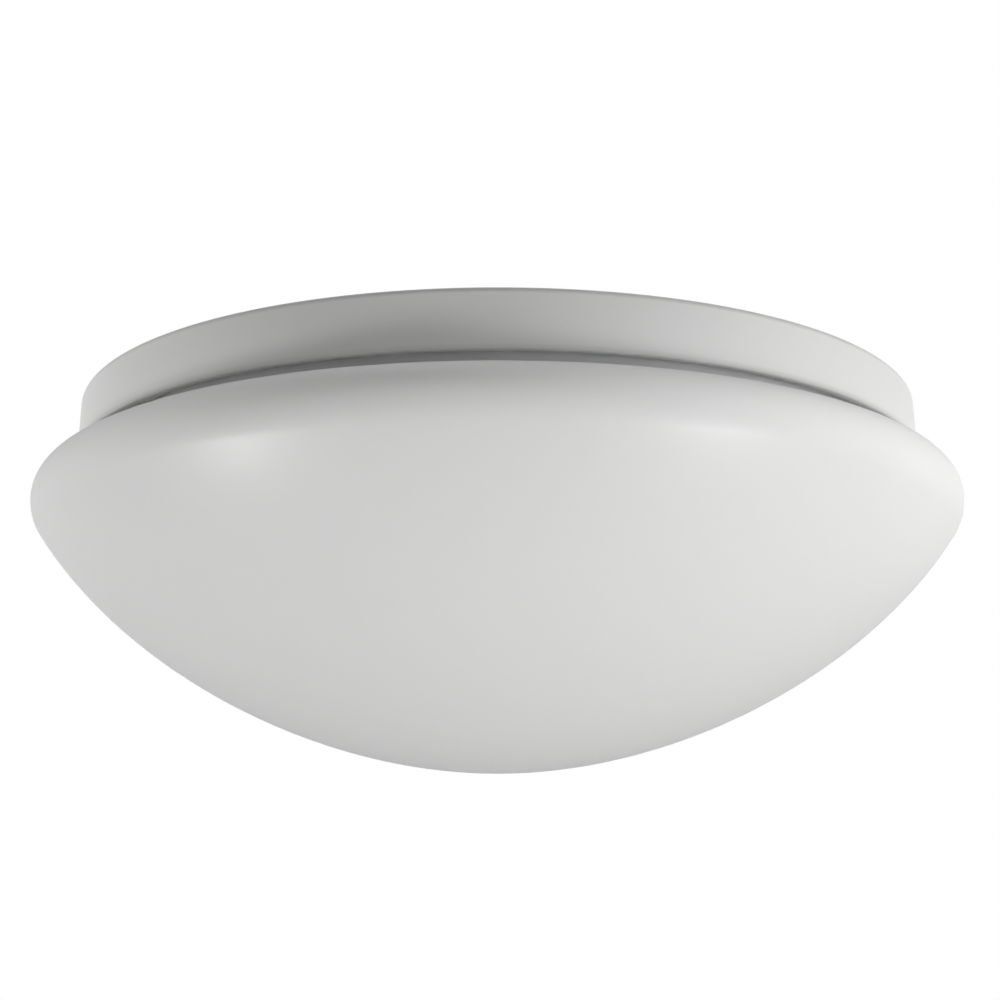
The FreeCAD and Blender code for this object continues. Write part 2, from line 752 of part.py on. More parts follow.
def make_tray_latch(index):
    """A quarter-turn latch: a winged head under the tray, a shaft and a bar over the boss ledge."""
    latch = new_body(f"tray_latch_{index + 1}")
    spot = [("latch_circle", "0")]
    discs(latch, "Head", "head_top", spot, "latch_head_radius", "latch_head_height")
    wing = new_sketch(latch, "Wing", level="head_under")
    draw_slot(wing, "latch_circle", "0", "latch_wing_length", "latch_wing_width / 2")
    pad(latch, wing, "latch_wing_height", down=True)
    discs(latch, "Shaft", "head_top", spot, "latch_shaft_radius", "bar_top - head_top", down=False)
    block(latch, "Bar", "bar_under", "latch_circle", "0", "latch_bar_length", "latch_bar_width",
          "latch_bar_height", down=False)
    latch.setExpression("Placement.Rotation.Angle", formula(f"{index} * 360 / latch_count"))
    return latch


def make_tray_bush():
    """The rubber bush where the lamp leads pass the tray."""
    bush = new_body("tray_bush")
    section = new_sketch(bush, "BushSection", "XZ_Plane")
    draw_outline(section, [
        ("bush_bore", "floor_top + bush_flange_height"),
        ("bush_flange", "floor_top + bush_flange_height"),
        ("bush_flange", "floor_top"),
        ("bush_hole", "floor_top"),
        ("bush_hole", "floor_under"),
        ("bush_flange", "floor_under"),
        ("bush_flange", "floor_under - bush_flange_height"),
        ("bush_bore", "floor_under - bush_flange_height"),
    ])
    revolve(bush, section)
    bush.setExpression("Placement.Base.x", formula("bush_x"))
    return bush


def pole_x(index):
    return f"({index} - (pole_count - 1) / 2) * pole_pitch"


def make_terminal_block():
    """The spring-clamp terminal block, with a pocket for each lever and two screw ears."""
    terminal = new_body("terminal_block")
    block(terminal, "Housing", "plate_front", "0", "terminal_y", "terminal_length",
          "terminal_width", "terminal_height")
    ear_top = "plate_front - terminal_post_height"
    block(terminal, "Ears", ear_top, "0", "terminal_y", "terminal_length + 2 * terminal_ear",
          "2 * terminal_post_radius", "terminal_ear_height")
    drills(terminal, "EarHoles", ear_top, TERMINAL_POSTS, "screw_radius", "terminal_ear_height")
    for index in range(int(SIZES["pole_count"])):
        notch(terminal, f"LeverPocket{index + 1}", "terminal_under", pole_x(index), "terminal_y",
              "lever_width + 2 * body_gap", "terminal_width", "lever_pocket_depth", up=True)
    # A round entry for the supply core of each pole, from the back face
    entries = new_sketch(terminal, "CoreEntries", "XZ_Plane")
    for index in range(int(SIZES["pole_count"])):
        draw_circle(entries, pole_x(index), "lead_level", "2 * lead_radius")
    entries.setExpression("AttachmentOffset.Base.z", formula("0 - terminal_back"))
    pocket(terminal, entries, "core_entry_depth", up=True)
    return terminal


def make_terminal_lever(index):
    """A lever of the terminal block: a barrel at the pivot and a flat tongue along the pole."""
    lever = new_body(f"terminal_lever_{index + 1}")
    side = new_sketch(lever, "LeverSide", "YZ_Plane")
    pivot = ("pivot_y", "pivot_level")
    low = "pivot_level - lever_barrel_radius"
    high = f"{low} + lever_thickness"
    tip = "pivot_y - lever_length"
    draw_outline(side, [
        ("pivot_y", low),
        ("pivot_y", "pivot_level + lever_barrel_radius"),
        ("pivot_y - lever_barrel_radius", high),
        (f"{tip} + lever_thickness", high),
        (tip, f"{low} + lever_thickness / 2"),
        (tip, low),
    ], {0: ("arc", *pivot)})
    tongue = lever.newObject("PartDesign::Pad", "Tongue")
    tongue.Profile = side
    tongue.Midplane = True
    tongue.setExpression("Length", formula("lever_width"))
    lever.setExpression("Placement.Base.x", formula(pole_x(index)))
    DOC.recompute()
    return lever


def make_cord_clamp():
    """The bar that holds the supply cable, with an arched middle."""
    clamp = new_body("cord_clamp")
    front = new_sketch(clamp, "ClampFront", "XZ_Plane")
    half = "clamp_screw_spacing / 2 + clamp_post_radius"
    draw_outline(front, [
        (f"0 - ({half})", "clamp_top"),
        ("0 - cable_radius", "clamp_top"),
        ("cable_radius", "clamp_top"),
        (half, "clamp_top"),
        (half, "clamp_top - clamp_height"),
        (f"0 - ({half})", "clamp_top - clamp_height"),
    ], {1: ("arc", "0", "clamp_top + clamp_arch_rise")})
    feature = clamp.newObject("PartDesign::Pad", "Bar")
    feature.Profile = front
    feature.Midplane = True
    feature.setExpression("Length", formula("clamp_width"))
    DOC.recompute()
    holes = [(x, "0") for x, y in CLAMP_POSTS]
    drills(clamp, "Holes", "clamp_top", holes, "screw_radius", "clamp_height")
    clamp.setExpression("Placement.Base.y", formula("clamp_y"))
    return clamp


def make_screws(label, spots, seat, grip, points_up=True):
    """A group of equal pan-head screws: heads seated at a level, shanks that reach over grip."""
    screws = new_body(label)
    discs(screws, "Heads", seat, spots, "screw_head_radius", "screw_head_height", points_up)
    discs(screws, "Shanks", seat, spots, "screw_radius", grip, not points_up)
    return screws


def make_lamp_board():
    """The ring-shaped aluminium board under the tray."""
    board = new_body("led_board")
    plan = new_sketch(board, "BoardPlan", level="floor_under")
    draw_circle(plan, "0", "0", "board_outer_radius")
    draw_circle(plan, "0", "0", "board_inner_radius")
    pad(board, plan, "board_thickness", down=True)
    spot = [("0", "board_screw_circle")]
    hole = drills(board, "ScrewHole", "floor_under", spot, "screw_radius + screw_play", "board_thickness")
    around(board, [hole], "board_screw_count", hole.Profile[0])
    return board


def make_chips(label, level, margin, height):
    """Two rings of equal small blocks under the lamp board."""
    chips = new_body(label)
    for ring in ("inner", "outer"):
        plan = new_sketch(chips, f"{ring}Chip", level=level)
        draw_rectangle(plan, f"{ring}_chip_circle", "0", f"chip_width - 2 * ({margin})",
                       f"chip_length - 2 * ({margin})")
        chip = pad(chips, plan, height, down=True)
        around(chips, [chip], f"{ring}_chip_count", plan)
    return chips


def make_connector():
    """The socket on the lamp board's inner edge that takes the lamp leads."""
    socket = new_body("board_connector")
    x = "board_inner_radius + connector_length / 2 + lamp_lead_radius"
    block(socket, "Housing", "board_under", x, "0", "connector_length", "connector_width",
          "connector_height")
    return socket


def make_driver():
    """The driver: a cover plate with ears on the tray, a case over it, and what is inside."""
    cover = new_body("driver_cover")
    block(cover, "Plate", "floor_top", "0", "driver_y", "driver_length", "driver_width",
          "driver_wall", down=False)
    block(cover, "Ears", "floor_top", "0", "driver_y", "driver_length + 2 * driver_ear",
          "driver_ear_width", "driver_wall", down=False)
    drills(cover, "EarHoles", "cover_top", DRIVER_EARS, "screw_radius", "driver_wall")
    case = new_body("driver_case")
    block(case, "Outside", "cover_top", "0", "driver_y", "driver_length", "driver_width",
          "driver_top - cover_top", down=False)
    notch(case, "Inside", "cover_top", "0", "driver_y", "driver_length - 2 * driver_wall",
          "driver_width - 2 * driver_wall", "driver_top - cover_top - driver_wall", up=True)
    board = new_body("driver_board")
    lift = "cover_top + driver_board_lift"
    block(board, "Board", lift, "0", "driver_y", "driver_length - 2 * driver_board_margin",
          "driver_width - 2 * driver_board_margin", "driver_board_thickness", down=False)
    pillars = [(f"{sx} * (driver_length / 2 - pillar_inset)", "driver_y") for sx in (-1, 1)]
    discs(board, "Pillars", lift, pillars, "pillar_radius", "driver_board_lift")
    seat = f"{lift} + driver_board_thickness"
    transformer = new_body("driver_transformer")
    top_seat = f"{seat} + transformer_height - core_height"
    for name, core_seat in (("Core", seat), ("TopCore", top_seat)):
        block(transformer, name, core_seat, "0", "driver_y", "transformer_length", "transformer_width",
              "core_height", down=False)
    block(transformer, "Winding", seat, "0", "driver_y", "winding_length", "winding_width",
          "winding_height", down=False)
    capacitors = new_body("driver_capacitors")
    cans = [(f"{place} * capacitor_pitch", "driver_y") for place in CAPACITOR_PLACES]
    discs(capacitors, "Cans", seat, cans, "capacitor_radius", "capacitor_height", down=False)
    return [cover, case, board, transformer, capacitors]


def make_earth_tag():
    """A ring tag under the earth screw, with an upright crimp barrel."""
    tag = new_body("earth_tag")
    spot = [("earth_x", "earth_y")]
    discs(tag, "Ring", "floor_top", spot, "tag_radius", "tag_sheet", down=False)
    tongue = "tag_radius + tag_barrel_radius"
    block(tag, "Tongue", "floor_top", "earth_x", f"earth_y + ({tongue}) / 2", "2 * tag_barrel_radius",
          tongue, "tag_sheet", down=False)
    barrel = [("earth_x", f"earth_y + {tongue}")]
    discs(tag, "Barrel", "floor_top", barrel, "tag_barrel_radius", "tag_barrel_height", down=False)
    drills(tag, "RingHole", "floor_top", spot, "screw_radius", "tag_sheet", up=True)
    return tag


def make_lead(label, points, radius, bend_share):
    """A lead as straight runs with tangent arcs, each cut from a share of the shorter run beside it."""
    route = [Vector(*(number(value) for value in point)) for point in points]
    edges = []
    start = route[0]
    length = 0.0
    radii = []
    for index in range(1, len(route) - 1):
        back = route[index - 1] - route[index]
        ahead = route[index + 1] - route[index]
        reach = bend_share * min(back.Length, ahead.Length)
        turn = math.pi - back.getAngle(ahead)
        bend = reach / math.tan(turn / 2)
        back.normalize()
        ahead.normalize()
        enter = route[index] + back * reach
        leave = route[index] + ahead * reach
        inward = back + ahead
        inward.normalize()
        middle = route[index] + inward * (bend / math.cos(turn / 2) - bend)
        edges.append(Part.LineSegment(start, enter).toShape())
        edges.append(Part.Arc(enter, middle, leave).toShape())
        length += (enter - start).Length + bend * turn
        radii.append(bend)
        start = leave
    edges.append(Part.LineSegment(start, route[-1]).toShape())
    length += (route[-1] - start).Length
    path = Part.Wire(edges)
    section = Part.Circle(route[0], route[1] - route[0], radius)
    tube = path.makePipeShell([Part.Wire([section.toShape()])], True, False)
    expected = math.pi * radius ** 2 * length
    if abs(tube.Volume / expected - 1) > 0.01:
        raise ValueError(f"{label}: volume {tube.Volume:.2f}, expected {expected:.2f}")
    print(label, "length", round(length, 1), "bend radii", [round(value, 1) for value in radii])
    lead = DOC.addObject("Part::Feature", label)
    lead.Label = label
    lead.Shape = tube
    return lead


def make_leads():
    """The leads from the terminal block to the driver and tray, and from the driver to the lamps."""
    mains = number("lead_radius")
    mains_share = number("mains_bend_share")
    level = "lead_level"
    driver_in = "driver_top - driver_height / 2"
    exit_y = "terminal_front"
    leads = []
    for index, core in enumerate(("live", "neutral")):
        x = f"{core}_inlet - driver_length / 2"
        leads.append(make_lead(f"{core}_lead", [
            (pole_x(index), exit_y, level),
            (pole_x(index), f"{exit_y} - {core}_exit", level),
            (x, f"driver_front + {core}_rise", driver_in),
            (x, "driver_front", driver_in),
        ], mains, mains_share))
    barrel_y = "earth_y + tag_radius + tag_barrel_radius"
    leads.append(make_lead("earth_lead", [
        (pole_x(2), exit_y, level),
        (pole_x(2), barrel_y, level),
        ("earth_x", barrel_y, level),
        ("earth_x", barrel_y, "floor_top + tag_barrel_height"),
    ], mains, mains_share))
    socket_x = "board_inner_radius + lamp_lead_radius"
    under = "board_under - connector_height / 2"
    for label, sign in (("led_lead_positive", -1), ("led_lead_negative", 1)):
        x = f"bush_x + {sign} * lamp_lead_spread"
        y = f"0 - {sign} * lamp_lead_spread"
        leads.append(make_lead(label, [
            (x, "driver_front", driver_in),
            (x, y, driver_in),
            (x, y, under),
            (socket_x, y, under),
        ], number("lamp_lead_radius"), number("lamp_bend_share")))
    return leads


def make_all():
    parts = [make_base_pan(), make_ceiling_gasket()]
    parts.append(make_entry_bush("cable_grommet", *ENTRIES[0], True))
    parts.append(make_entry_bush("spare_entry_plug", *ENTRIES[1], False))
    parts += [make_diffuser_seal(), make_diffuser(), make_gear_tray(), make_tray_bush()]
    parts += [make_tray_latch(index) for index in range(int(SIZES["latch_count"]))]
    parts.append(make_terminal_block())
    parts += [make_terminal_lever(index) for index in range(int(SIZES["pole_count"]))]
    parts.append(make_cord_clamp())
    ear_seat = "plate_front - terminal_post_height - terminal_ear_height"
    clamp_seat = "clamp_top - clamp_height"
    ear_grip = "terminal_ear_height + screw_bite"
    clamp_grip = "clamp_height + screw_bite"
    parts.append(make_screws("terminal_screws", TERMINAL_POSTS, ear_seat, ear_grip))
    parts.append(make_screws("clamp_screws", CLAMP_POSTS, clamp_seat, clamp_grip))
    parts += [make_lamp_board(), make_chips("led_chips", "board_under", "0", "chip_height")]
    parts.append(make_chips("led_phosphors", "chip_under", "phosphor_margin", "phosphor_height"))
    parts.append(make_connector())
    turns = [f"90 + {index} * 360 / board_screw_count" for index in range(int(SIZES["board_screw_count"]))]
    spots = [(f"board_screw_circle * cos({turn})", f"board_screw_circle * sin({turn})") for turn in turns]
    board_grip = "board_thickness + tray_sheet + screw_radius"
    parts.append(make_screws("board_screws", spots, "board_under", board_grip))
    parts += make_driver()
    driver_grip = "driver_wall + tray_sheet"
    parts.append(make_screws("driver_screws", DRIVER_EARS, "cover_top", driver_grip, points_up=False))
    parts.append(make_earth_tag())
    earth_grip = "tag_sheet + tray_sheet + screw_radius"
    parts.append(make_screws("earth_screw", [("earth_x", "earth_y")], "floor_top + tag_sheet", earth_grip,
                             points_up=False))
    parts += make_leads()
    return parts


def write_parts(parts):
    """Check every object, then write one file for each sub-part."""
    DOC.recompute()
    for item in DOC.Objects:
        if "Invalid" in item.State or "Error" in item.State:
            raise ValueError(f"{item.Label} failed: {item.State}")
    for part in parts:
        if part.Shape.isNull() or not part.Shape.isValid():
            raise ValueError(f"{part.Label} has no valid shape")
    os.makedirs("parts", exist_ok=True)
    for part in parts:
        part.Shape.exportStep(os.path.join("parts", part.Label + ".step"))
        print(part.Label, "solids", len(part.Shape.Solids), "volume", round(part.Shape.Volume, 1))


write_parts(make_all())
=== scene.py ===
import math

import bmesh
import bpy
from mathutils import Matrix, Vector, noise


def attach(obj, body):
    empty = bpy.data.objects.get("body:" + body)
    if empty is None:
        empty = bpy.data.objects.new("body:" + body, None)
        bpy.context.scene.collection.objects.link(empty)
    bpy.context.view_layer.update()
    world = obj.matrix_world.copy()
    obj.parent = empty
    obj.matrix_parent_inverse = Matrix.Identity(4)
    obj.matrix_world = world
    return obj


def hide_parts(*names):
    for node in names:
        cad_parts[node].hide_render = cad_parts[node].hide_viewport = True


# One millimetre in metres: shapes are in millimetres, and camera, lamps and floor in metres
MM = 0.001

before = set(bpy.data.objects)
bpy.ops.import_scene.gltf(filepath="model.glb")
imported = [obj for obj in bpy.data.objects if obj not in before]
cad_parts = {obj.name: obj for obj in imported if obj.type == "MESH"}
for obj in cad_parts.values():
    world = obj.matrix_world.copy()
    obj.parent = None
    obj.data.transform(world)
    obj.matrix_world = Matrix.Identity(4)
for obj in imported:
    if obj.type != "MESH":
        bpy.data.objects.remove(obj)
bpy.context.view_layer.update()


def add_object(name, data):
    """A new object, linked to the scene."""
    item = bpy.data.objects.new(name, data)
    bpy.context.scene.collection.objects.link(item)
    return item


# Camera, fitted to the photo's outline: lens and sensor in its own millimetres, the tilt in degrees
SENSOR_WIDTH, FOCAL_LENGTH, SIDE_SHIFT = 36.0, 72.144, 0.0027
CAMERA_PLACE, TILT_UP = (0.0, -0.64303, -0.18227), 13.65
NEAREST, FARTHEST = 0.01, 500.0


def make_camera():
    """The photo's camera: 0.66 m from the middle of the widest circle, looking up at it."""
    data = bpy.data.cameras.new("Camera")
    data.sensor_width = SENSOR_WIDTH
    data.lens = FOCAL_LENGTH
    data.shift_x = SIDE_SHIFT
    data.clip_start = NEAREST
    data.clip_end = FARTHEST
    camera = add_object("Camera", data)
    camera.location = CAMERA_PLACE
    camera.rotation_euler = (math.radians(90.0 + TILT_UP), 0.0, 0.0)
    bpy.context.scene.camera = camera


make_camera()


# Materials
class Nodes:
    """Short calls that build a material's node tree."""

    def __init__(self, name):
        self.material = bpy.data.materials.new(name)
        self.material.use_nodes = True
        self.tree = self.material.node_tree
        self.shader = self.tree.nodes["Principled BSDF"]
        self.place = self.add("ShaderNodeTexCoord").outputs["Object"]

    def add(self, kind, inputs=None, **settings):
        node = self.tree.nodes.new(kind)
        for key, value in settings.items():
            setattr(node, key, value)
        for key, value in (inputs or {}).items():
            self.join(node.inputs[key], value)
        return node

    def join(self, socket, value):
        if isinstance(value, bpy.types.NodeSocket):
            self.tree.links.new(value, socket)
        else:
            socket.default_value = value

    def set(self, **values):
        """Values or links for the shader's own sockets, with _ for a space in a socket's name."""
        for key, value in values.items():
            self.join(self.shader.inputs[key.replace("_", " ")], value)

    def noise(self, scale, detail=3.0, rough=0.55, place=None):
        return self.add("ShaderNodeTexNoise", {
            "Vector": place or self.place, "Scale": scale, "Detail": detail, "Roughness": rough,
        }).outputs["Fac"]

    def stretched_noise(self, x, y, z, detail=1.0, rough=0.5):
        """A noise with a scale of its own along each axis."""
        place = self.add("ShaderNodeMapping", {"Vector": self.place, "Scale": (x, y, z)}).outputs["Vector"]
        return self.noise(1.0, detail, rough, place)

    def cells(self, scale):
        return self.add("ShaderNodeTexVoronoi", {"Vector": self.place, "Scale": scale}).outputs["Distance"]

    def mapped(self, value, low, high, out_low, out_high):
        return self.add("ShaderNodeMapRange", {
            "Value": value, "From Min": low, "From Max": high, "To Min": out_low, "To Max": out_high,
        }).outputs["Result"]

    def mix(self, fac, a, b):
        node = self.add("ShaderNodeMix", data_type="RGBA")
        for key, value in (("Factor", fac), ("A", a), ("B", b)):
            self.join(next(s for s in node.inputs if s.name == key and s.enabled), value)
        return next(s for s in node.outputs if s.type == "RGBA")

    def mottle(self, pattern, color, spread):
        """A base colour that runs with a pattern from a darker to a lighter neighbour of a colour."""
        dark, light = [rgb(*(min(1.0, c * (1.0 + sign * spread)) for c in color)) for sign in (-1, 1)]
        self.set(Base_Color=self.mix(pattern, dark, light))

    def tint(self, color, start, stop):
        """Blend the base colour into another between two levels of the piece, in millimetres."""
        level = self.add("ShaderNodeSeparateXYZ", {0: self.place}).outputs["Z"]
        body = self.shader.inputs["Base Color"].links[0].from_socket
        self.set(Base_Color=self.mix(self.mapped(level, start * MM, stop * MM, 0.0, 1.0), body, color))

    def roughen(self, noise, low, high):
        """A roughness that follows the middle range of a noise."""
        self.set(Roughness=self.mapped(noise, 0.3, 0.7, low, high))

    def soften(self, weight, *reach):
        """Let light into the skin, with the reach of red, green and blue in metres."""
        self.set(Subsurface_Weight=weight, Subsurface_Radius=reach, Subsurface_Scale=1.0)

    def bump(self, height, strength, distance, normal=None):
        inputs = {"Height": height, "Strength": strength, "Distance": distance}
        if normal is not None:
            inputs["Normal"] = normal
        return self.add("ShaderNodeBump", inputs).outputs["Normal"]


def rgb(red, green, blue):
    return (red, green, blue, 1.0)


def moulded(name, color, roughness, grain=0.2, spread=0.02, scale=1400.0, depth=0.00004):
    """Moulded plastic or rubber: a fine grain, a slow unevenness of gloss and a faint mottle."""
    n = Nodes(name)
    n.mottle(n.noise(14.0), color, spread)
    n.roughen(n.noise(22.0, 2.0), roughness - 0.03, roughness + 0.03)
    slow = n.bump(n.noise(60.0, 2.0), 0.04, 0.0002)
    n.set(IOR=1.49, Normal=n.bump(n.noise(scale, 3.0, 0.6), grain, depth, slow))
    return n


def make_opal():
    """Satin opal plastic. Its neck is painted paler: painted light for the light that gets into the gap under
    the base.
    """
    n = moulded("OpalBowl", (0.80, 0.80, 0.795), 0.33, grain=0.05, spread=0.008, scale=1600.0, depth=0.00003)
    n.soften(0.12, 0.004, 0.004, 0.0038)
    # The gloss is a thin dense coat, which stays faint at a low angle, where plain gloss turns white
    n.set(Specular_IOR_Level=0.0, Coat_Weight=0.08, Coat_IOR=3.0, Coat_Roughness=0.33)
    # Painted light: the neck's band between these levels is made paler than the rest of the bowl
    n.tint(rgb(0.94, 0.94, 0.935), -21.8, -20.2)
    return n


def make_base():
    """Pale plastic with painted shade along both edges of the rim: at the lower edge, where the bowl shades
    it, and at the upper edge, which gets little light from above; plain on its back.
    """
    plain = (0.67, 0.67, 0.665)
    n = moulded("BasePlastic", plain, 0.44)
    # Painted shade: the rim's lower edge and underside are darker, where the bowl shades them
    n.tint(rgb(0.56, 0.56, 0.555), -16.2, -17.6)
    # Painted shade: a darker band along the rim's upper edge, which gets little light from above; the next
    # tint brings the back to the plain colour
    n.tint(rgb(0.50, 0.50, 0.495), -2.0, -0.9)
    n.tint(rgb(*plain), -0.2, -0.05)
    return n


def make_foam():
    """Dark foam with open pores of two sizes."""
    n = Nodes("Foam")
    pores = n.cells(900.0)
    n.set(Base_Color=n.mix(pores, rgb(0.035, 0.035, 0.04), rgb(0.12, 0.12, 0.125)), Roughness=0.9)
    n.set(Normal=n.bump(n.cells(2100.0), 0.6, 0.0002, n.bump(pores, 0.7, 0.0003)))
    return n


def make_silicone():
    n = moulded("Silicone", (0.74, 0.74, 0.72), 0.38, grain=0.12)
    n.soften(0.3, 0.002, 0.002, 0.0018)
    return n


def make_powder_coat():
    """White powder coat on sheet steel, with its orange peel."""
    n = Nodes("PowderCoat")
    n.mottle(n.noise(30.0), (0.80, 0.80, 0.79), 0.012)
    n.roughen(n.noise(40.0), 0.34, 0.42)
    n.set(IOR=1.5, Coat_Weight=0.25, Coat_Roughness=0.22)
    peel = n.bump(n.noise(420.0, 1.5), 0.18, 0.00008)
    n.set(Normal=n.bump(n.noise(2200.0, 2.0), 0.12, 0.00003, peel))
    return n


def metal(name, color, roughness, streak):
    """Plated or bare metal: turned or rolled streaks and a cloudy tint."""
    n = Nodes(name)
    clouds = n.noise(180.0, 3.0)
    n.mottle(clouds, color, 0.07)
    lines = n.stretched_noise(*streak, detail=3.0, rough=0.6)
    n.roughen(lines, roughness - 0.07, roughness + 0.08)
    n.set(Metallic=1.0, Normal=n.bump(lines, 0.12, 0.00002, n.bump(clouds, 0.06, 0.00005)))
    return n


def solder_mask(name, color, roughness):
    """Printed solder mask: smooth, with a faint weave of the board under it."""
    n = Nodes(name)
    n.mottle(n.noise(120.0), color, 0.02)
    n.roughen(n.noise(70.0), roughness - 0.05, roughness + 0.06)
    weave = n.bump(n.stretched_noise(240.0, 2400.0, 240.0), 0.06, 0.00003)
    n.set(IOR=1.5, Normal=n.bump(n.stretched_noise(2400.0, 240.0, 240.0), 0.06, 0.00003, weave))
    return n


def make_phosphor():
    """Yellow phosphor grains in clear silicone."""
    n = Nodes("Phosphor")
    grains = n.cells(9000.0)
    n.set(Base_Color=n.mix(grains, rgb(0.80, 0.60, 0.10), rgb(0.90, 0.76, 0.26)), IOR=1.41, Roughness=0.24)
    n.soften(0.4, 0.0006, 0.0005, 0.0002)
    n.set(Normal=n.bump(grains, 0.1, 0.00003))
    return n


def make_winding_tape():
    """Clear yellow tape over enamelled wire."""
    n = Nodes("WindingTape")
    turns = n.stretched_noise(60.0, 60.0, 5200.0, rough=0.4)
    n.set(Base_Color=n.mix(turns, rgb(0.50, 0.36, 0.05), rgb(0.74, 0.58, 0.12)), IOR=1.5)
    n.roughen(n.noise(90.0), 0.20, 0.34)
    n.set(Coat_Weight=0.4, Coat_Roughness=0.12, Normal=n.bump(turns, 0.25, 0.00008))
    return n


def lead_skin(name, color, roughness=0.34):
    """Extruded insulation: a soft gloss and a fine unevenness."""
    n = Nodes(name)
    n.mottle(n.noise(160.0), color, 0.10)
    n.roughen(n.noise(300.0), roughness - 0.05, roughness + 0.07)
    n.set(IOR=1.5, Normal=n.bump(n.noise(900.0, 2.0), 0.12, 0.00006))
    return n


def make_earth_skin():
    """Green and yellow insulation, in bands that run across the lead at a slant."""
    n = lead_skin("EarthLead", (0.16, 0.32, 0.03))
    wave = n.add("ShaderNodeTexWave", {
        "Vector": n.place, "Scale": 46.0, "Distortion": 0.4, "Detail": 1.0,
    }, wave_type="BANDS", bands_direction="DIAGONAL").outputs["Fac"]
    band = n.mapped(wave, 0.46, 0.54, 0.0, 1.0)
    n.set(Base_Color=n.mix(band, rgb(0.05, 0.26, 0.06), rgb(0.72, 0.60, 0.04)))
    return n


SLOTS = {
    "opal": make_opal(),
    "base": make_base(),
    "foam": make_foam(),
    "rubber": moulded("Rubber", (0.36, 0.36, 0.35), 0.60, grain=0.4, spread=0.05),
    "silicone": make_silicone(),
    "tray": make_powder_coat(),
    "latch": moulded("LatchPlastic", (0.62, 0.62, 0.60), 0.34, grain=0.12, spread=0.03),
    "terminal": moulded("TerminalPlastic", (0.66, 0.66, 0.62), 0.36, grain=0.12, spread=0.03),
    "lever": moulded("LeverPlastic", (0.80, 0.20, 0.015), 0.32, grain=0.10, spread=0.05),
    "screw": metal("ZincPlate", (0.62, 0.63, 0.65), 0.30, (900.0, 900.0, 260.0)),
    "board": solder_mask("WhiteMask", (0.84, 0.84, 0.82), 0.32),
    "chip": moulded("ChipBody", (0.82, 0.81, 0.77), 0.38, grain=0.10, scale=4200.0, depth=0.00002),
    "phosphor": make_phosphor(),
    "driver": moulded("DriverPlastic", (0.52, 0.53, 0.54), 0.46, grain=0.35, spread=0.03, scale=1100.0,
                      depth=0.00008),
    "circuit": solder_mask("GreenMask", (0.03, 0.14, 0.05), 0.30),
    "winding": make_winding_tape(),
    "can": moulded("CanSleeve", (0.03, 0.04, 0.07), 0.24, grain=0.05, spread=0.10),
    "tin": metal("Tin", (0.72, 0.72, 0.71), 0.32, (400.0, 400.0, 1400.0)),
    "brown_lead": lead_skin("BrownLead", (0.12, 0.045, 0.02)),
    "blue_lead": lead_skin("BlueLead", (0.02, 0.09, 0.36)),
    "earth_lead": make_earth_skin(),
    "red_lead": lead_skin("RedLead", (0.50, 0.02, 0.015), 0.40),
    "black_lead": lead_skin("BlackLead", (0.02, 0.02, 0.022), 0.38),
}


# Mesh helpers, in millimetres
class Form:
    """Points and faces of one piece, gathered from closed parts."""

    def __init__(self, *parts):
        self.points, self.faces = [], []
        for part in parts:
            self.add(part)

    def add(self, part, place=None):
        """Add the points and faces of a part, moved to its place."""
        points, faces = part
        first = len(self.points)
        move = place or Matrix.Identity(4)
        self.points += [move @ Vector(point) for point in points]
        self.faces += [[first + corner for corner in face] for face in faces]

    def build(self, name, slot, body, *nodes, angle=35.0):
        """Make the object, dress it from its slot and let it ride on its body."""
        mesh = bpy.data.meshes.new(name)
        mesh.from_pydata([point * MM for point in self.points], [], self.faces)
        bm = bmesh.new()
        bm.from_mesh(mesh)
        bmesh.ops.recalc_face_normals(bm, faces=bm.faces)
        bm.to_mesh(mesh)
        bm.free()
        mesh.shade_smooth()
        mesh.set_sharp_from_angle(angle=math.radians(angle))
        mesh.materials.append(SLOTS[slot].material)
        piece = add_object(name, mesh)
        if nodes:
            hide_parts(*nodes)
        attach(piece, body)


def moved(x, y, z=0.0, turn=0.0):
    """A place, with a turn in degrees about the upright."""
    return Matrix.Translation((x, y, z)) @ Matrix.Rotation(math.radians(turn), 4, "Z")


HEAD_UP, HEAD_DOWN = Matrix.Identity(4), Matrix.Rotation(math.pi, 4, "X")
# Where a part's own X, Y and Z go when it was drawn in side view: to Y, Z and X
SIDE_VIEW = Matrix(((0, 0, 1, 0), (1, 0, 0, 0), (0, 1, 0, 0), (0, 0, 0, 1)))
# A part turned so that its own Z runs along Y, or along X
ALONG_Y = Matrix.Rotation(math.radians(-90), 4, "X")
ALONG_X = Matrix.Rotation(math.radians(90), 4, "Y")


def lathe(profile, segments, closed=True):
    """A turned part: a closed section away from the axis, or an open one that starts and ends on it."""
    points, faces, rows = [], [], []
    for radius, level in profile:
        count = 1 if radius < 1e-6 else segments
        rows.append([len(points) + index for index in range(count)] * (segments // count))
        for index in range(count):
            angle = 2 * math.pi * index / segments
            points.append((radius * math.cos(angle), radius * math.sin(angle), level))
    for index in range(len(rows) if closed else len(rows) - 1):
        below, above = rows[index], rows[(index + 1) % len(rows)]
        for side in range(segments):
            ahead = (side + 1) % segments
            face = [below[side], below[ahead], above[ahead], above[side]]
            face = [corner for place, corner in enumerate(face) if corner not in face[:place]]
            if len(face) > 2:
                faces.append(face)
    return points, faces


def arc_points(x, y, radius, start, stop, count):
    """Points on an arc, with angles in degrees from +X."""
    turns = [math.radians(start + (stop - start) * index / count) for index in range(count + 1)]
    return [(x + radius * math.cos(turn), y + radius * math.sin(turn)) for turn in turns]


def bezier_points(p0, p1, p2, p3, count):
    """Points on a cubic curve with two ends and two pulls."""
    points = []
    for index in range(count + 1):
        t = index / count
        weights = ((1 - t) ** 3, 3 * t * (1 - t) ** 2, 3 * t * t * (1 - t), t ** 3)
        points.append(tuple(sum(w * p[k] for w, p in zip(weights, (p0, p1, p2, p3))) for k in (0, 1)))
    return points


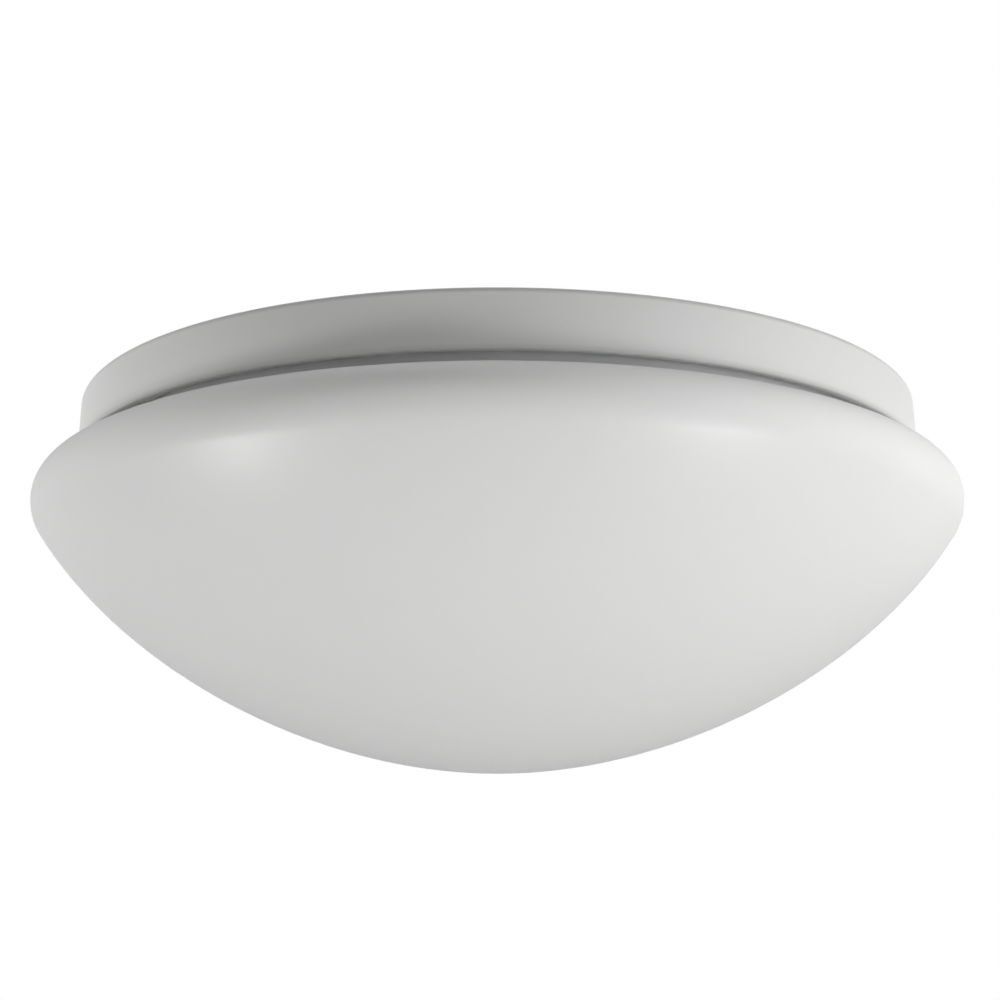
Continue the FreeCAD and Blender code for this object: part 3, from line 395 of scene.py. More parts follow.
def rounded(corners, radii, count=4):
    """A closed outline whose corners are rounded by tangent arcs."""
    points = []
    for index, (corner, radius) in enumerate(zip(corners, radii)):
        here = Vector(corner)
        if radius <= 0:
            points.append(tuple(here))
            continue
        back = (Vector(corners[index - 1]) - here).normalized()
        ahead = (Vector(corners[(index + 1) % len(corners)]) - here).normalized()
        half = back.angle(ahead) / 2
        reach = radius / math.tan(half)
        centre = here + (back + ahead).normalized() * radius / math.sin(half)
        first = here + back * reach - centre
        turn = -first.angle_signed(here + ahead * reach - centre)
        for step in range(count + 1):
            c, s = math.cos(turn * step / count), math.sin(turn * step / count)
            points.append((centre.x + c * first.x - s * first.y, centre.y + s * first.x + c * first.y))
    return points


def rounded_box(length, width, radius, count=4):
    """A rectangle about the origin with rounded corners, anticlockwise."""
    x, y = length / 2, width / 2
    return rounded([(-x, -y), (x, -y), (x, y), (-x, y)], [radius] * 4, count)


def inset(outline, distance):
    """An anticlockwise outline moved inward."""
    result = []
    for index, corner in enumerate(outline):
        here = Vector(corner)
        a = (here - Vector(outline[index - 1])).normalized()
        b = (Vector(outline[(index + 1) % len(outline)]) - here).normalized()
        n0, n1 = Vector((-a.y, a.x)), Vector((-b.y, b.x))
        result.append(here + (n0 + n1) * distance / (1 + n0.dot(n1)))
    return result


def bands(loops):
    """The faces between each loop of corners and the next, all of the same count."""
    faces = []
    for below, above in zip(loops, loops[1:]):
        corners = zip(below, below[1:] + below[:1], above[1:] + above[:1], above)
        faces += [list(face) for face in corners]
    return faces


def stack(rows):
    """A skin through outlines of equal count, each at its level, closed by a face at both ends."""
    count = len(rows[0][0])
    points = [(x, y, level) for outline, level in rows for x, y in outline]
    loops = [list(range(row * count, (row + 1) * count)) for row in range(len(rows))]
    return points, [loops[0][::-1], loops[-1]] + bands(loops)


def slab(outline, low, high, edge=0.25, steps=3):
    """A plate or block whose upper and lower edges are rounded."""
    turns = [math.pi / 2 * step / steps for step in range(steps + 1)]
    rows = [(inset(outline, edge * (1 - math.sin(t))), low + edge * (1 - math.cos(t))) for t in turns]
    rows += [(inset(outline, edge * (1 - math.cos(t))), high - edge * (1 - math.sin(t))) for t in turns]
    return stack(rows)


def sector(inner, outer, start, stop, low, high):
    """A piece of a flat ring, with a point about every 3 degrees."""
    count = max(2, int((stop - start) / 3))
    outline = arc_points(0, 0, outer, start, stop, count) + arc_points(0, 0, inner, stop, start, count)
    return slab(outline, low, high, 0.02, 1)


def on_circle(radius, turns):
    return [(radius * math.cos(math.radians(turn)), radius * math.sin(math.radians(turn))) for turn in turns]


def make_lead(name, slot, node, points, radius):
    """A lead as a smooth tube along its route."""
    curve = bpy.data.curves.new(name, "CURVE")
    curve.dimensions = "3D"
    curve.bevel_depth = radius * MM
    curve.bevel_resolution = 5
    curve.use_fill_caps = True
    spline = curve.splines.new("NURBS")
    spline.points.add(len(points) - 1)
    for place, point in zip(spline.points, points):
        place.co = [value * MM for value in point] + [1.0]
    spline.order_u = 3
    spline.use_endpoint_u = True
    spline.resolution_u = 16
    curve.materials.append(SLOTS[slot].material)
    piece = add_object(name, curve)
    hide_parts(node)
    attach(piece, "fixture")


# Sizes repeated from the part's source, in millimetres and degrees
WIDEST, WIDEST_LEVEL, POLE_LEVEL = 150.0, -33.575, -115.275
LOWER_LIP, UPPER_LIP, WALL = 14.0, 11.0, 2.0
FLANK_ANGLE, SHOULDER_ANGLE = 33.8, 16.8
POLE_PULL, FLANK_PULL = 57.8, 50.7
NECK, NECK_INNER, NECK_TOP = 131.0, 128.5, -7.5
LUG_TOP, LUG_REACH, LUG_THICK, LUG_SPAN, FALL = -8.0, 2.3, 2.0, 10.0, 96.0 / 360
PLATE_BACK, PLATE_FRONT = -2.0, -4.5
GASKET_INNER, GASKET_OUTER = 122.14, 131.14
SUPPLY_ENTRY, SPARE_ENTRY = (0.0, 78.0), (48.0, 62.0)
FLOOR_TOP, FLOOR_UNDER, BOARD_UNDER = -30.0, -30.8, -32.0
LAMP_RINGS = ((59.0, 16), (78.0, 24))
DRIVER_LENGTH, DRIVER_WIDTH, DRIVER_Y, DRIVER_FRONT = 92.0, 40.0, -53.84, -33.84
COVER_TOP, DRIVER_TOP = -28.4, -11.4
POLES, TERMINAL_FRONT, CORE_LEVEL = (-7.5, 0.0, 7.5), 29.0, -9.3
LIVE_X, NEUTRAL_X, EARTH_X, EARTH_BARREL_Y = -34.0, -28.0, 22.0, 20.3
BUSH_X, LEAD_APART, LEAD_LEVEL, LEAD_UNDER, SOCKET_X = 28.0, 1.3, -20.7, -33.8, 45.8


# Opal bowl
def bowl_profile():
    """The bowl's section: from the pole over the lip and up the neck, and back to the pole inside."""
    flank, shoulder = math.radians(FLANK_ANGLE), math.radians(SHOULDER_ANGLE)
    lower, upper = (WIDEST - LOWER_LIP, WIDEST_LEVEL), (WIDEST - UPPER_LIP, WIDEST_LEVEL)
    lip_turn = 90 - SHOULDER_ANGLE
    lower_arc = arc_points(*lower, LOWER_LIP, -FLANK_ANGLE, 0.0, 14)
    upper_arc = arc_points(*upper, UPPER_LIP, 0.0, lip_turn, 20)
    x, y = lower_arc[0]
    pull_x, pull_y = x - FLANK_PULL * math.sin(flank), y - FLANK_PULL * math.cos(flank)

    # The gate mark of the moulding is a shallow dimple at the pole, here by radius and depth
    gate_mark = [(0.0, 0.22), (1.3, 0.20), (1.7, 0.05), (1.95, 0.004)]
    outside = [(radius, POLE_LEVEL + depth) for radius, depth in gate_mark]
    outside += bezier_points((0.0, POLE_LEVEL), (POLE_PULL, POLE_LEVEL), (pull_x, pull_y), (x, y), 56)[1:]
    outside += lower_arc[1:] + upper_arc[1:]

    end_x, end_y = upper_arc[-1]
    foot = (NECK, end_y + (end_x - NECK) * math.tan(shoulder))
    inner_foot = (NECK_INNER, end_y + (end_x - NECK_INNER) * math.tan(shoulder) - WALL / math.cos(shoulder))
    inner_end = (end_x - WALL * math.sin(shoulder), end_y - WALL * math.cos(shoulder))
    neck = rounded([(end_x, end_y), foot, (NECK, NECK_TOP), (NECK_INNER, NECK_TOP), inner_foot, inner_end],
                   [0, 1.0, 0.5, 0.5, 0.6, 0], 5)

    inside = arc_points(*upper, UPPER_LIP - WALL, lip_turn, 0.0, 14)
    inside += arc_points(*lower, LOWER_LIP - WALL, 0.0, -FLANK_ANGLE, 10)[1:]
    in_x, in_y = -WALL * math.cos(flank), WALL * math.sin(flank)
    inside += bezier_points((x + in_x, y + in_y), (pull_x + in_x, pull_y + in_y),
                            (POLE_PULL, POLE_LEVEL + WALL), (0.0, POLE_LEVEL + WALL), 40)[1:]
    return outside + neck[1:-1] + inside


def lug(start):
    """One helical lug of the neck, with rounded outer edges and eased ends."""
    root, steps, end_share, growth = NECK - 0.8, 14, 0.55, 1.8
    points, loops = [], []
    for step in range(steps + 1):
        turn = -LUG_SPAN * step / steps
        outer = NECK + LUG_REACH * min(1.0, end_share + growth * min(step, steps - step) / steps)
        top = LUG_TOP + FALL * turn
        low = top - LUG_THICK
        section = rounded([(root, low), (outer, low), (outer, top), (root, top)], [0, 0.4, 0.4, 0], 3)
        angle = math.radians(start + turn)
        loops.append(list(range(len(points), len(points) + len(section))))
        points += [(radius * math.cos(angle), radius * math.sin(angle), level) for radius, level in section]
    return points, bands(loops) + [loops[0], loops[-1]]


Form(lathe(bowl_profile(), 288, closed=False), *(lug(120 * index) for index in range(3))).build(
    "opal_bowl", "opal", "diffuser", "diffuser", angle=50.0)


# Soft parts
def make_gasket():
    """The foam ring: open pores on its faces, soft edges and one butt joint."""
    face, cell = -0.06, 0.75
    joint_azimuth, joint_depth, joint_half_width = -150.0, 0.5, 0.55
    section = rounded([(GASKET_INNER, PLATE_BACK), (GASKET_OUTER, PLATE_BACK), (GASKET_OUTER, face),
                       (GASKET_INNER, face)], [0.25, 0.25, 0.45, 0.45], 3)
    fine = []
    for index, (radius, level) in enumerate(section):
        ahead = section[(index + 1) % len(section)]
        parts = max(1, round((Vector(ahead) - Vector((radius, level))).length / cell))
        fine += [(radius + (ahead[0] - radius) * k / parts, level + (ahead[1] - level) * k / parts)
                 for k in range(parts)]
    form = Form(lathe(fine, 720))
    middle = Vector(((GASKET_INNER + GASKET_OUTER) / 2, PLATE_BACK / 2))
    for point in form.points:
        radius = math.hypot(point.x, point.y)
        depth = 0.22 * max(0.0, noise.noise(point * 1.1)) + 0.10 * abs(noise.noise(point * 3.3))
        from_joint = abs(math.degrees(math.atan2(point.y, point.x)) - joint_azimuth) * math.radians(radius)
        depth += joint_depth * max(0.0, 1.0 - from_joint / joint_half_width)
        inward = Vector((middle.x - radius, middle.y - point.z)).normalized() * depth
        scale = (radius + inward.x) / radius
        point.x, point.y, point.z = point.x * scale, point.y * scale, point.z + inward.y
    form.build("foam_gasket", "foam", "fixture", "ceiling_gasket", angle=80.0)


def make_entry_pieces():
    """The supply entry's grommet and the spare entry's plug, with rings where they grip the plate."""
    top, low, recess = PLATE_BACK + 1.4, PLATE_FRONT - 2.1, PLATE_FRONT - 1.2
    neck, flange, bore, wide_bore = 9.0, 11.5, 4.0, 4.25
    outer = [(flange, top), (flange, PLATE_BACK), (neck, PLATE_BACK), (neck, PLATE_FRONT),
             (flange, PLATE_FRONT), (neck, low)]
    outer_radii = [0.5, 0.3, 0.2, 0.2, 0.35, 0.5]
    groove = [(8.4, top), (8.7, top - 0.25), (9.3, top - 0.25), (9.6, top)]
    groove_radii = [0.1] * 4
    step = [(7.4, low), (6.9, recess)]
    hole = [(5.6, recess), (5.2, low), (bore, low), (bore, PLATE_FRONT - 0.6), (wide_bore, PLATE_FRONT - 0.3),
            (wide_bore, PLATE_BACK - 0.9), (bore, PLATE_BACK - 0.6), (bore, top)]
    hole_radii = [0.2, 0.2, 0.35, 0.1, 0.1, 0.1, 0.1, 0.5]
    section = rounded(outer + step + hole + groove, outer_radii + [0.2, 0.2] + hole_radii + groove_radii, 3)
    grommet = Form()
    grommet.add(lathe(section, 96), moved(*SUPPLY_ENTRY))
    grommet.build("cable_entry_grommet", "rubber", "fixture", "cable_grommet")
    face = [(0.0, top - 0.5), (6.2, top - 0.5), (6.8, top)]
    section = rounded(face + groove + outer + step + [(0.0, recess)],
                      [0, 0.3, 0.2] + groove_radii + outer_radii + [0.2, 0.2, 0], 3)
    plug = Form()
    plug.add(lathe(section, 96, closed=False), moved(*SPARE_ENTRY))
    plug.build("spare_entry_stopper", "rubber", "fixture", "spare_entry_plug")


def make_seal():
    """The silicone ring: a flat back with a fine groove, and two soft lips that meet the neck."""
    inner, outer, top, low = 128.2, 131.3, -4.8, -7.2
    middle = (inner + outer) / 2
    back = [(inner, top), (middle - 0.5, top), (middle - 0.25, top - 0.3), (middle + 0.25, top - 0.3),
            (middle + 0.5, top), (outer, top)]
    lips = [(outer, low + 0.25), (outer - 0.5, low), (middle + 0.3, low + 0.7), (middle - 0.3, low + 0.7),
            (inner + 0.5, low), (inner, low + 0.25)]
    section = rounded(back + lips, [0.3, 0.1, 0.1, 0.1, 0.1, 0.3, 0.2, 0.2, 0.25, 0.25, 0.2, 0.2], 3)
    Form(lathe(section, 288)).build("neck_seal", "silicone", "diffuser_seal", "diffuser_seal")


def make_lead_bush():
    """The lamp leads' bush: a neck in the hole of the tray's floor, between two flanges."""
    bore, neck, flange, flange_thick = 3.8, 5.5, 7.0, 1.2
    top, low = FLOOR_TOP + flange_thick, FLOOR_UNDER - flange_thick
    section = rounded([(bore, low), (flange, low), (flange, FLOOR_UNDER), (neck, FLOOR_UNDER),
                       (neck, FLOOR_TOP), (flange, FLOOR_TOP), (flange, top), (bore, top)],
                      [0.5, 0.5, 0.1, 0.1, 0.1, 0.1, 0.5, 0.5], 4)
    form = Form()
    form.add(lathe(section, 64), moved(BUSH_X, 0.0))
    form.build("lead_bush", "rubber", "fixture", "tray_bush")


make_gasket()
make_entry_pieces()
make_seal()
make_lead_bush()


# Screws, all of one kind and of several lengths
HEAD, HEAD_HEIGHT, SHANK, PITCH, THREAD_DEPTH = 2.8, 1.8, 1.5, 1.0, 0.26


def bridge(outer, inner, points):
    """Triangles between two loops that both run once round the same centre."""
    def turns(loop):
        first = math.atan2(points[loop[0]][1], points[loop[0]][0])
        angles = [(math.atan2(points[i][1], points[i][0]) - first) % (2 * math.pi) for i in loop]
        return [angle + first for angle in angles] + [first + 2 * math.pi]

    outer_turns, inner_turns = turns(outer), turns(inner)
    faces, a, b = [], 0, 0
    while a < len(outer) or b < len(inner):
        here, there = outer[a % len(outer)], inner[b % len(inner)]
        if b == len(inner) or (a < len(outer) and outer_turns[a + 1] <= inner_turns[b + 1]):
            a += 1
            faces.append([here, outer[a % len(outer)], there])
        else:
            b += 1
            faces.append([here, inner[b % len(inner)], there])
    return faces


def screw(length, segments=36):
    """A pan-head screw with its seat at 0: a domed head with a cross recess, and a threaded shank down."""
    points, rows = [], []

    def ring(radii, level):
        rows.append(list(range(len(points), len(points) + segments)))
        for index, radius in enumerate(radii):
            angle = 2 * math.pi * index / segments
            points.append((radius * math.cos(angle), radius * math.sin(angle), level))

    shoulder, chamfer = HEAD_HEIGHT * 0.45, 0.12
    dome = [(HEAD * math.cos(t) ** 0.7, shoulder + (HEAD_HEIGHT - shoulder) * math.sin(t))
            for t in map(math.radians, (66, 54, 38, 20, 0))]
    for radius, level in dome + [(HEAD, chamfer), (HEAD - chamfer, 0.0), (SHANK, 0.0)]:
        ring([radius] * segments, level)
    steps = int(length / PITCH * 8)
    for step in range(1, steps + 1):
        level = -length * step / steps
        run_in, taper = min(1.0, step / 6), min(1.0, (length + level) / 0.8 + 0.35)
        phases = [(level / PITCH - index / segments) % 1.0 for index in range(segments)]
        depths = [THREAD_DEPTH * min(1.0, 2.4 * abs(phase - 0.5)) * run_in for phase in phases]
        ring([(SHANK - depth) * taper for depth in depths], level)

    arm, half, recess, top = HEAD * 0.52, HEAD * 0.11, HEAD_HEIGHT * 0.62, dome[0][1]
    cross, loops = [], []
    for c, s in ((1, 0), (0, 1), (-1, 0), (0, -1)):
        cross += [(c * x - s * y, s * x + c * y) for x, y in ((arm, -half), (arm, half), (half, half))]
    for scale, level in ((1.0, top + 0.02), (0.93, top - 0.08), (0.6, top - recess)):
        loops.append(list(range(len(points), len(points) + len(cross))))
        points += [(x * scale, y * (scale if abs(x) + abs(y) > arm else 1.0), level) for x, y in cross]
    faces = bands(rows) + [rows[-1]] + bridge(rows[0], loops[0], points) + bands(loops) + [loops[-1]]
    return points, faces


def make_screws(name, node, spots, seat, length, pose):
    """The screws of one node, each turned a little further than the last."""
    form = Form()
    for index, (x, y) in enumerate(spots):
        form.add(screw(length), moved(x, y, seat, 17 + 53 * index) @ pose)
    form.build(name, "screw", "fixture", node, angle=40.0)


def pair(x, y):
    """A place on either side of the middle."""
    return [(-x, y), (x, y)]


make_screws("block_screws", "terminal_screws", pair(17.0, 38.0), -10.5, 7.4, HEAD_DOWN)
make_screws("cable_clamp_screws", "clamp_screws", pair(13.0, 58.0), -16.5, 8.4, HEAD_DOWN)
make_screws("lamp_board_screws", "board_screws", on_circle(69.0, (90, 210, 330)), BOARD_UNDER, 3.5, HEAD_DOWN)
make_screws("driver_ear_screws", "driver_screws", pair(50.5, DRIVER_Y), COVER_TOP, 2.4, HEAD_UP)
make_screws("earthing_screw", "earth_screw", [(EARTH_X, 15.0)], FLOOR_TOP + 0.8, 3.1, HEAD_UP)


# Lamp board
def make_lamps():
    """The lamp packages in two rings: body with a cavity, phosphor fill, and tinned feet."""
    def skin(length, width, rows):
        """A skin through rectangles, each by how far it lies inward, its corner radius and its level."""
        return stack([(rounded_box(length - 2 * inward, width - 2 * inward, radius, 3), level)
                      for inward, radius, level in rows])

    body = skin(2.8, 3.5, [(0.0, 0.12, 0.0), (0.0, 0.12, -0.52), (0.06, 0.10, -0.6), (0.42, 0.30, -0.6),
                           (0.50, 0.28, -0.5)])
    dome = skin(1.92, 2.62, [(0.0, 0.30, -0.51), (0.02, 0.28, -0.58), (0.12, 0.25, -0.61), (0.3, 0.2, -0.63),
                             (0.6, 0.15, -0.64)])
    foot = slab(rounded_box(2.2, 0.5, 0.08, 2), -0.24, 0.02, 0.05, 1)
    bodies, domes, feet = Form(), Form(), Form()
    for circle, count in LAMP_RINGS:
        for index in range(count):
            turn = 360.0 * index / count
            x, y = on_circle(circle, [turn])[0]
            place = moved(x, y, BOARD_UNDER, turn)
            bodies.add(body, place)
            domes.add(dome, place)
            for side in (-1, 1):
                feet.add(foot, place @ moved(0.0, side * 1.66))
    bodies.build("lamp_bodies", "chip", "fixture", "led_chips")
    domes.build("lamp_phosphors", "phosphor", "fixture", "led_phosphors", angle=70.0)
    feet.build("lamp_feet", "tin", "fixture")


def make_tracks():
    """The copper under the lamp board's white mask, seen as low relief, and its bare pads."""
    high, low, lower = BOARD_UNDER + 0.02, BOARD_UNDER - 0.07, BOARD_UNDER - 0.09
    half_width, rail, lamp_half = 1.2, 3.2, 2.2
    form = Form()
    for circle, count in LAMP_RINGS:
        gap = math.degrees(lamp_half / circle)
        for index in range(count - 1):
            start, stop = 360.0 * index / count, 360.0 * (index + 1) / count
            form.add(sector(circle - half_width, circle + half_width, start + gap, stop - gap, low, high))
            for middle in (circle - rail, circle + rail):
                form.add(sector(middle - half_width, middle + half_width, start + gap * 0.3, stop - gap * 0.6,
                                low, high))
    for side in (-1, 1):
        form.add(slab(rounded_box(4.4, 1.4, 0.3, 2), lower, high, 0.02, 1), moved(56.2, side * 2.4))
        form.add(slab(rounded_box(11.0, 1.4, 0.3, 2), lower, high, 0.02, 1),
                 moved(67.6, side * 3.6, 0.0, side * 2.0))
    form.build("board_tracks", "board", "fixture")
    pad, pads = lathe([(0.0, low), (1.1, low), (1.2, high), (0.0, high)], 20, closed=False), Form()
    for x, y in on_circle(51.5, (35, 72, 145, 215, 288, 325)):
        pads.add(pad, moved(x, y))
    pads.build("board_test_pads", "tin", "fixture")


def make_lamp_socket():
    """The push-in socket: a rounded housing, two lead funnels and two release keys."""
    length, width, low = 8.0, 7.0, BOARD_UNDER - 3.6
    housing = [(x + SOCKET_X + length / 2, y) for x, y in rounded_box(length, width, 0.5)]
    funnel = lathe([(0.8, 0.0), (1.22, 0.0), (1.32, 0.2), (1.45, 0.7), (0.8, 0.7)], 24)
    key = slab(rounded_box(3.0, 1.5, 0.3, 3), -0.35, 0.1, 0.2, 2)
    form = Form(slab(housing, low, BOARD_UNDER, 0.35))
    for y in (-LEAD_APART, LEAD_APART):
        form.add(funnel, Matrix.Translation((SOCKET_X - 0.45, y, LEAD_UNDER)) @ ALONG_X)
        form.add(key, moved(SOCKET_X + 3.2, 1.35 * y, low))
    form.build("lamp_socket", "terminal", "fixture", "board_connector")


make_lamps()
make_tracks()
make_lamp_socket()


# Terminals
def make_levers():
    """A spring-clamp lever for each pole, with a rounded tongue and a ribbed thumb end."""
    pivot_y, pivot_z, barrel, length, thick, half = 44.0, -14.7, 1.5, 12.5, 1.8, 2.7
    low, tip = pivot_z - barrel, pivot_y - length
    side = arc_points(pivot_y, pivot_z, barrel, -90, 90, 12)
    side += [(pivot_y - 1.5, low + thick + 0.15), (pivot_y - 3.0, low + thick), (tip + 1.8, low + thick),
             (tip + 0.5, low + 1.5), (tip, low + 0.9), (tip + 0.1, low + 0.2), (tip + 0.5, low)]
    for number, x in enumerate(POLES, 1):
        form = Form()
        place = Matrix.Translation((x, 0, 0)) @ SIDE_VIEW
        form.add(slab(side, -half, half, 0.22), place)
        for step in range(4):
            ridge = arc_points(tip + 1.3 + 0.9 * step, low + 0.05, 0.26, 180, 360, 5)
            form.add(slab(ridge, -half + 0.5, half - 0.5, 0.05, 1), place)
        form.build(f"pole_lever_{number}", "lever", f"terminal_lever_{number}", f"terminal_lever_{number}")


def make_collars():
    """Entry collars round the leads, on the terminal block's front and on the driver's end."""
    section = [(1.0, -0.5), (1.9, -0.5), (1.9, 0.3), (1.6, 0.9), (1.35, 1.1), (1.0, 1.1)]
    collar, small = lathe(section, 28), lathe([(radius * 0.8, level) for radius, level in section], 28)
    block_side, driver_side = Form(), Form()
    for x in POLES:
        block_side.add(collar, Matrix.Translation((x, TERMINAL_FRONT, CORE_LEVEL)) @ ALONG_Y.inverted())
    for part, x in ((collar, LIVE_X), (collar, NEUTRAL_X),
                    (small, BUSH_X - LEAD_APART), (small, BUSH_X + LEAD_APART)):
        driver_side.add(part, Matrix.Translation((x, DRIVER_FRONT, LEAD_LEVEL)) @ ALONG_Y)
    block_side.build("block_lead_collars", "terminal", "fixture")
    driver_side.build("driver_lead_collars", "rubber", "fixture")


make_levers()
make_collars()


# Driver
def make_driver_case():
    """The driver's case: a drafted shell with a parting lip, corner radii, snaps and vent ribs."""
    low, wall, lip, crown = COVER_TOP, 1.6, 1.4, 1.3
    box = [(x, y + DRIVER_Y) for x, y in rounded_box(DRIVER_LENGTH, DRIVER_WIDTH, 2.6, 6)]
    inner = inset(box, wall)
    rows = [(inset(inner, 0.4), DRIVER_TOP - wall), (inner, DRIVER_TOP - wall - 0.4), (inner, low),
            (box, low), (box, low + lip), (inset(box, 0.25), low + lip + 0.2)]
    rows += [(inset(box, 0.4 + crown * (1 - math.cos(t))), DRIVER_TOP - crown * (1 - math.sin(t)))
             for t in (math.pi / 8 * step for step in range(5))]
    form = Form(stack(rows))
    snap = slab(rounded_box(5.0, 0.9, 0.3, 3), low + 1.7, low + 5.2, 0.3)
    for x in (-34.0, -12.0, 12.0, 34.0):
        for side in (-1, 1):
            form.add(snap, moved(x, DRIVER_Y + side * (DRIVER_WIDTH / 2 - 0.4)))
    rib = slab(rounded_box(1.2, 26.0, 0.55, 4), DRIVER_TOP - 0.5, DRIVER_TOP, 0.3)
    for x in (-30.0, -26.0, -22.0, 22.0, 26.0, 30.0):
        form.add(rib, moved(x, DRIVER_Y))
    form.build("driver_shell", "driver", "fixture", "driver_case")


def make_driver_inside():
    """What is in the driver: ferrite core and taped winding, and capacitors with pressed tops."""
    standoff, board_thick = 3.0, 1.6
    seat = COVER_TOP + standoff + board_thick
    tape, ferrite = Form(), Form()
    tape.add(slab(rounded_box(13.0, 19.0, 3.0, 6), seat, seat + 6.8, 0.4), moved(0.0, DRIVER_Y))
    for low in (seat, seat + 6.9):
        ferrite.add(slab(rounded_box(19.0, 16.0, 0.8, 3), low, low + 1.6, 0.3), moved(0.0, DRIVER_Y))
    for side in (-1, 1):
        ferrite.add(slab(rounded_box(2.6, 12.0, 0.4, 3), seat + 1.5, seat + 7.0, 0.1),
                    moved(side * 8.1, DRIVER_Y))
    tape.build("transformer_winding", "winding", "fixture", "driver_transformer")
    ferrite.build("transformer_core", "can", "fixture")
    side = rounded([(4.0, 0.0), (4.0, 1.0), (3.75, 1.25), (3.75, 1.6), (4.0, 1.85), (4.0, 10.0), (3.1, 10.0)],
                   [0.4, 0.15, 0.15, 0.15, 0.15, 0.5, 0.1], 3)
    sleeve = lathe([(0.0, 0.0)] + side + [(0.0, 9.6)], 40, closed=False)
    top = lathe([(0.0, 9.55), (3.3, 9.55), (3.3, 9.85), (3.0, 9.9), (0.0, 9.9)], 40, closed=False)
    sleeves, tops = Form(), Form()
    for x in (-30.0, -18.0, 18.0, 30.0):
        sleeves.add(sleeve, moved(x, DRIVER_Y, seat))
        tops.add(top, moved(x, DRIVER_Y, seat))
    sleeves.build("capacitor_sleeves", "can", "fixture", "driver_capacitors")
    tops.build("capacitor_tops", "tin", "fixture")


make_driver_case()
make_driver_inside()


# Leads, with the routes' points from the part's source
def make_leads():
    """The leads from the terminal block, and the two that run through the bush to the lamp board."""
    live, neutral, earth = POLES
    make_lead("live_core", "brown_lead", "live_lead", [
        (live, TERMINAL_FRONT, CORE_LEVEL), (live, 13.0, CORE_LEVEL),
        (LIVE_X, -11.84, LEAD_LEVEL), (LIVE_X, DRIVER_FRONT, LEAD_LEVEL)], 1.0)
    make_lead("neutral_core", "blue_lead", "neutral_lead", [
        (neutral, TERMINAL_FRONT, CORE_LEVEL), (neutral, 10.0, CORE_LEVEL),
        (NEUTRAL_X, -14.84, LEAD_LEVEL), (NEUTRAL_X, DRIVER_FRONT, LEAD_LEVEL)], 1.0)
    make_lead("earth_core", "earth_lead", "earth_lead", [
        (earth, TERMINAL_FRONT, CORE_LEVEL), (earth, EARTH_BARREL_Y, CORE_LEVEL),
        (EARTH_X, EARTH_BARREL_Y, CORE_LEVEL), (EARTH_X, EARTH_BARREL_Y, -24.0)], 1.0)
    for name, slot, node, side in (("lamp_lead_plus", "red_lead", "led_lead_positive", -1),
                                   ("lamp_lead_minus", "black_lead", "led_lead_negative", 1)):
        x, y = BUSH_X + LEAD_APART * side, -LEAD_APART * side
        make_lead(name, slot, node, [
            (x, DRIVER_FRONT, LEAD_LEVEL), (x, y, LEAD_LEVEL),
            (x, y, LEAD_UNDER), (SOCKET_X, y, LEAD_UNDER)], 0.8)


make_leads()


# Nodes kept from the frame
def keep(node, slot, edge):
    """Dress a node of the frame, and break its sharp edges by a width in millimetres."""
    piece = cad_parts[node]
    mesh = piece.data
    mesh.materials.clear()
    mesh.materials.append(SLOTS[slot].material)
    mesh.shade_smooth()
    if not edge:
        mesh.set_sharp_from_angle(angle=math.radians(32.0))
        return
    if "custom_normal" in mesh.attributes:
        mesh.attributes.remove(mesh.attributes["custom_normal"])
    weld = piece.modifiers.new("Weld", "WELD")
    weld.merge_threshold = 1e-6
    flat = piece.modifiers.new("Flat", "DECIMATE")
    flat.decimate_type = "DISSOLVE"
    flat.angle_limit = math.radians(1.0)
    bevel = piece.modifiers.new("Edges", "BEVEL")
    bevel.width = edge * MM
    bevel.segments = 2
    bevel.limit_method = "ANGLE"
    bevel.angle_limit = math.radians(40.0)
    bevel.use_clamp_overlap = False
    bevel.harden_normals = True


def make_rim_skin():
    """A smooth skin over the flats of the base's outer wall, from its upper to its lower edge."""
    # Radius and level of an edge's centre, and the radius that it is rounded by
    upper, lower, draft = (133.93, -1.8, 1.8), (135.78, -17.5, 0.6), 2.4
    outside = arc_points(*upper, 90, draft, 16) + arc_points(*lower, draft, -90, 8)
    inside = [(135.2, -17.0), (134.7, -1.9)]
    Form(lathe(outside + inside, 480)).build("base_rim_skin", "base", "fixture")


# The slot of each kept node, and the width by which its edges are broken
KEPT = {
    "base_pan": ("base", 0.0), "gear_tray": ("tray", 0.0), "led_board": ("board", 0.0),
    "terminal_block": ("terminal", 0.25), "cord_clamp": ("base", 0.3), "driver_cover": ("driver", 0.25),
    "driver_board": ("circuit", 0.0), "earth_tag": ("tin", 0.12),
    "tray_latch_1": ("latch", 0.25), "tray_latch_2": ("latch", 0.25), "tray_latch_3": ("latch", 0.25),
}

make_rim_skin()
for node, (slot, edge) in KEPT.items():
    keep(node, slot, edge)


# Studio
def seen_rays(tree):
    """1 for the rays that show the surroundings: to the camera, in gloss and through glass."""
    path = tree.nodes.new("ShaderNodeLightPath")
    seen = path.outputs["Is Camera Ray"]
    for ray in ("Is Glossy Ray", "Is Transmission Ray"):
        either = tree.nodes.new("ShaderNodeMath")
        either.operation = "MAXIMUM"
        tree.links.new(seen, either.inputs[0])
        tree.links.new(path.outputs[ray], either.inputs[1])
        seen = either.outputs[0]
    return seen


def make_world():
    """White where the camera looks past the object and in gloss and glass, and no light of its own."""
    world = bpy.data.worlds.new("World")
    bpy.context.scene.world = world
    world.use_nodes = True
    tree = world.node_tree
    background = tree.nodes["Background"]
    background.inputs["Color"].default_value = rgb(1.0, 1.0, 1.0)
    tree.links.new(seen_rays(tree), background.inputs["Strength"])


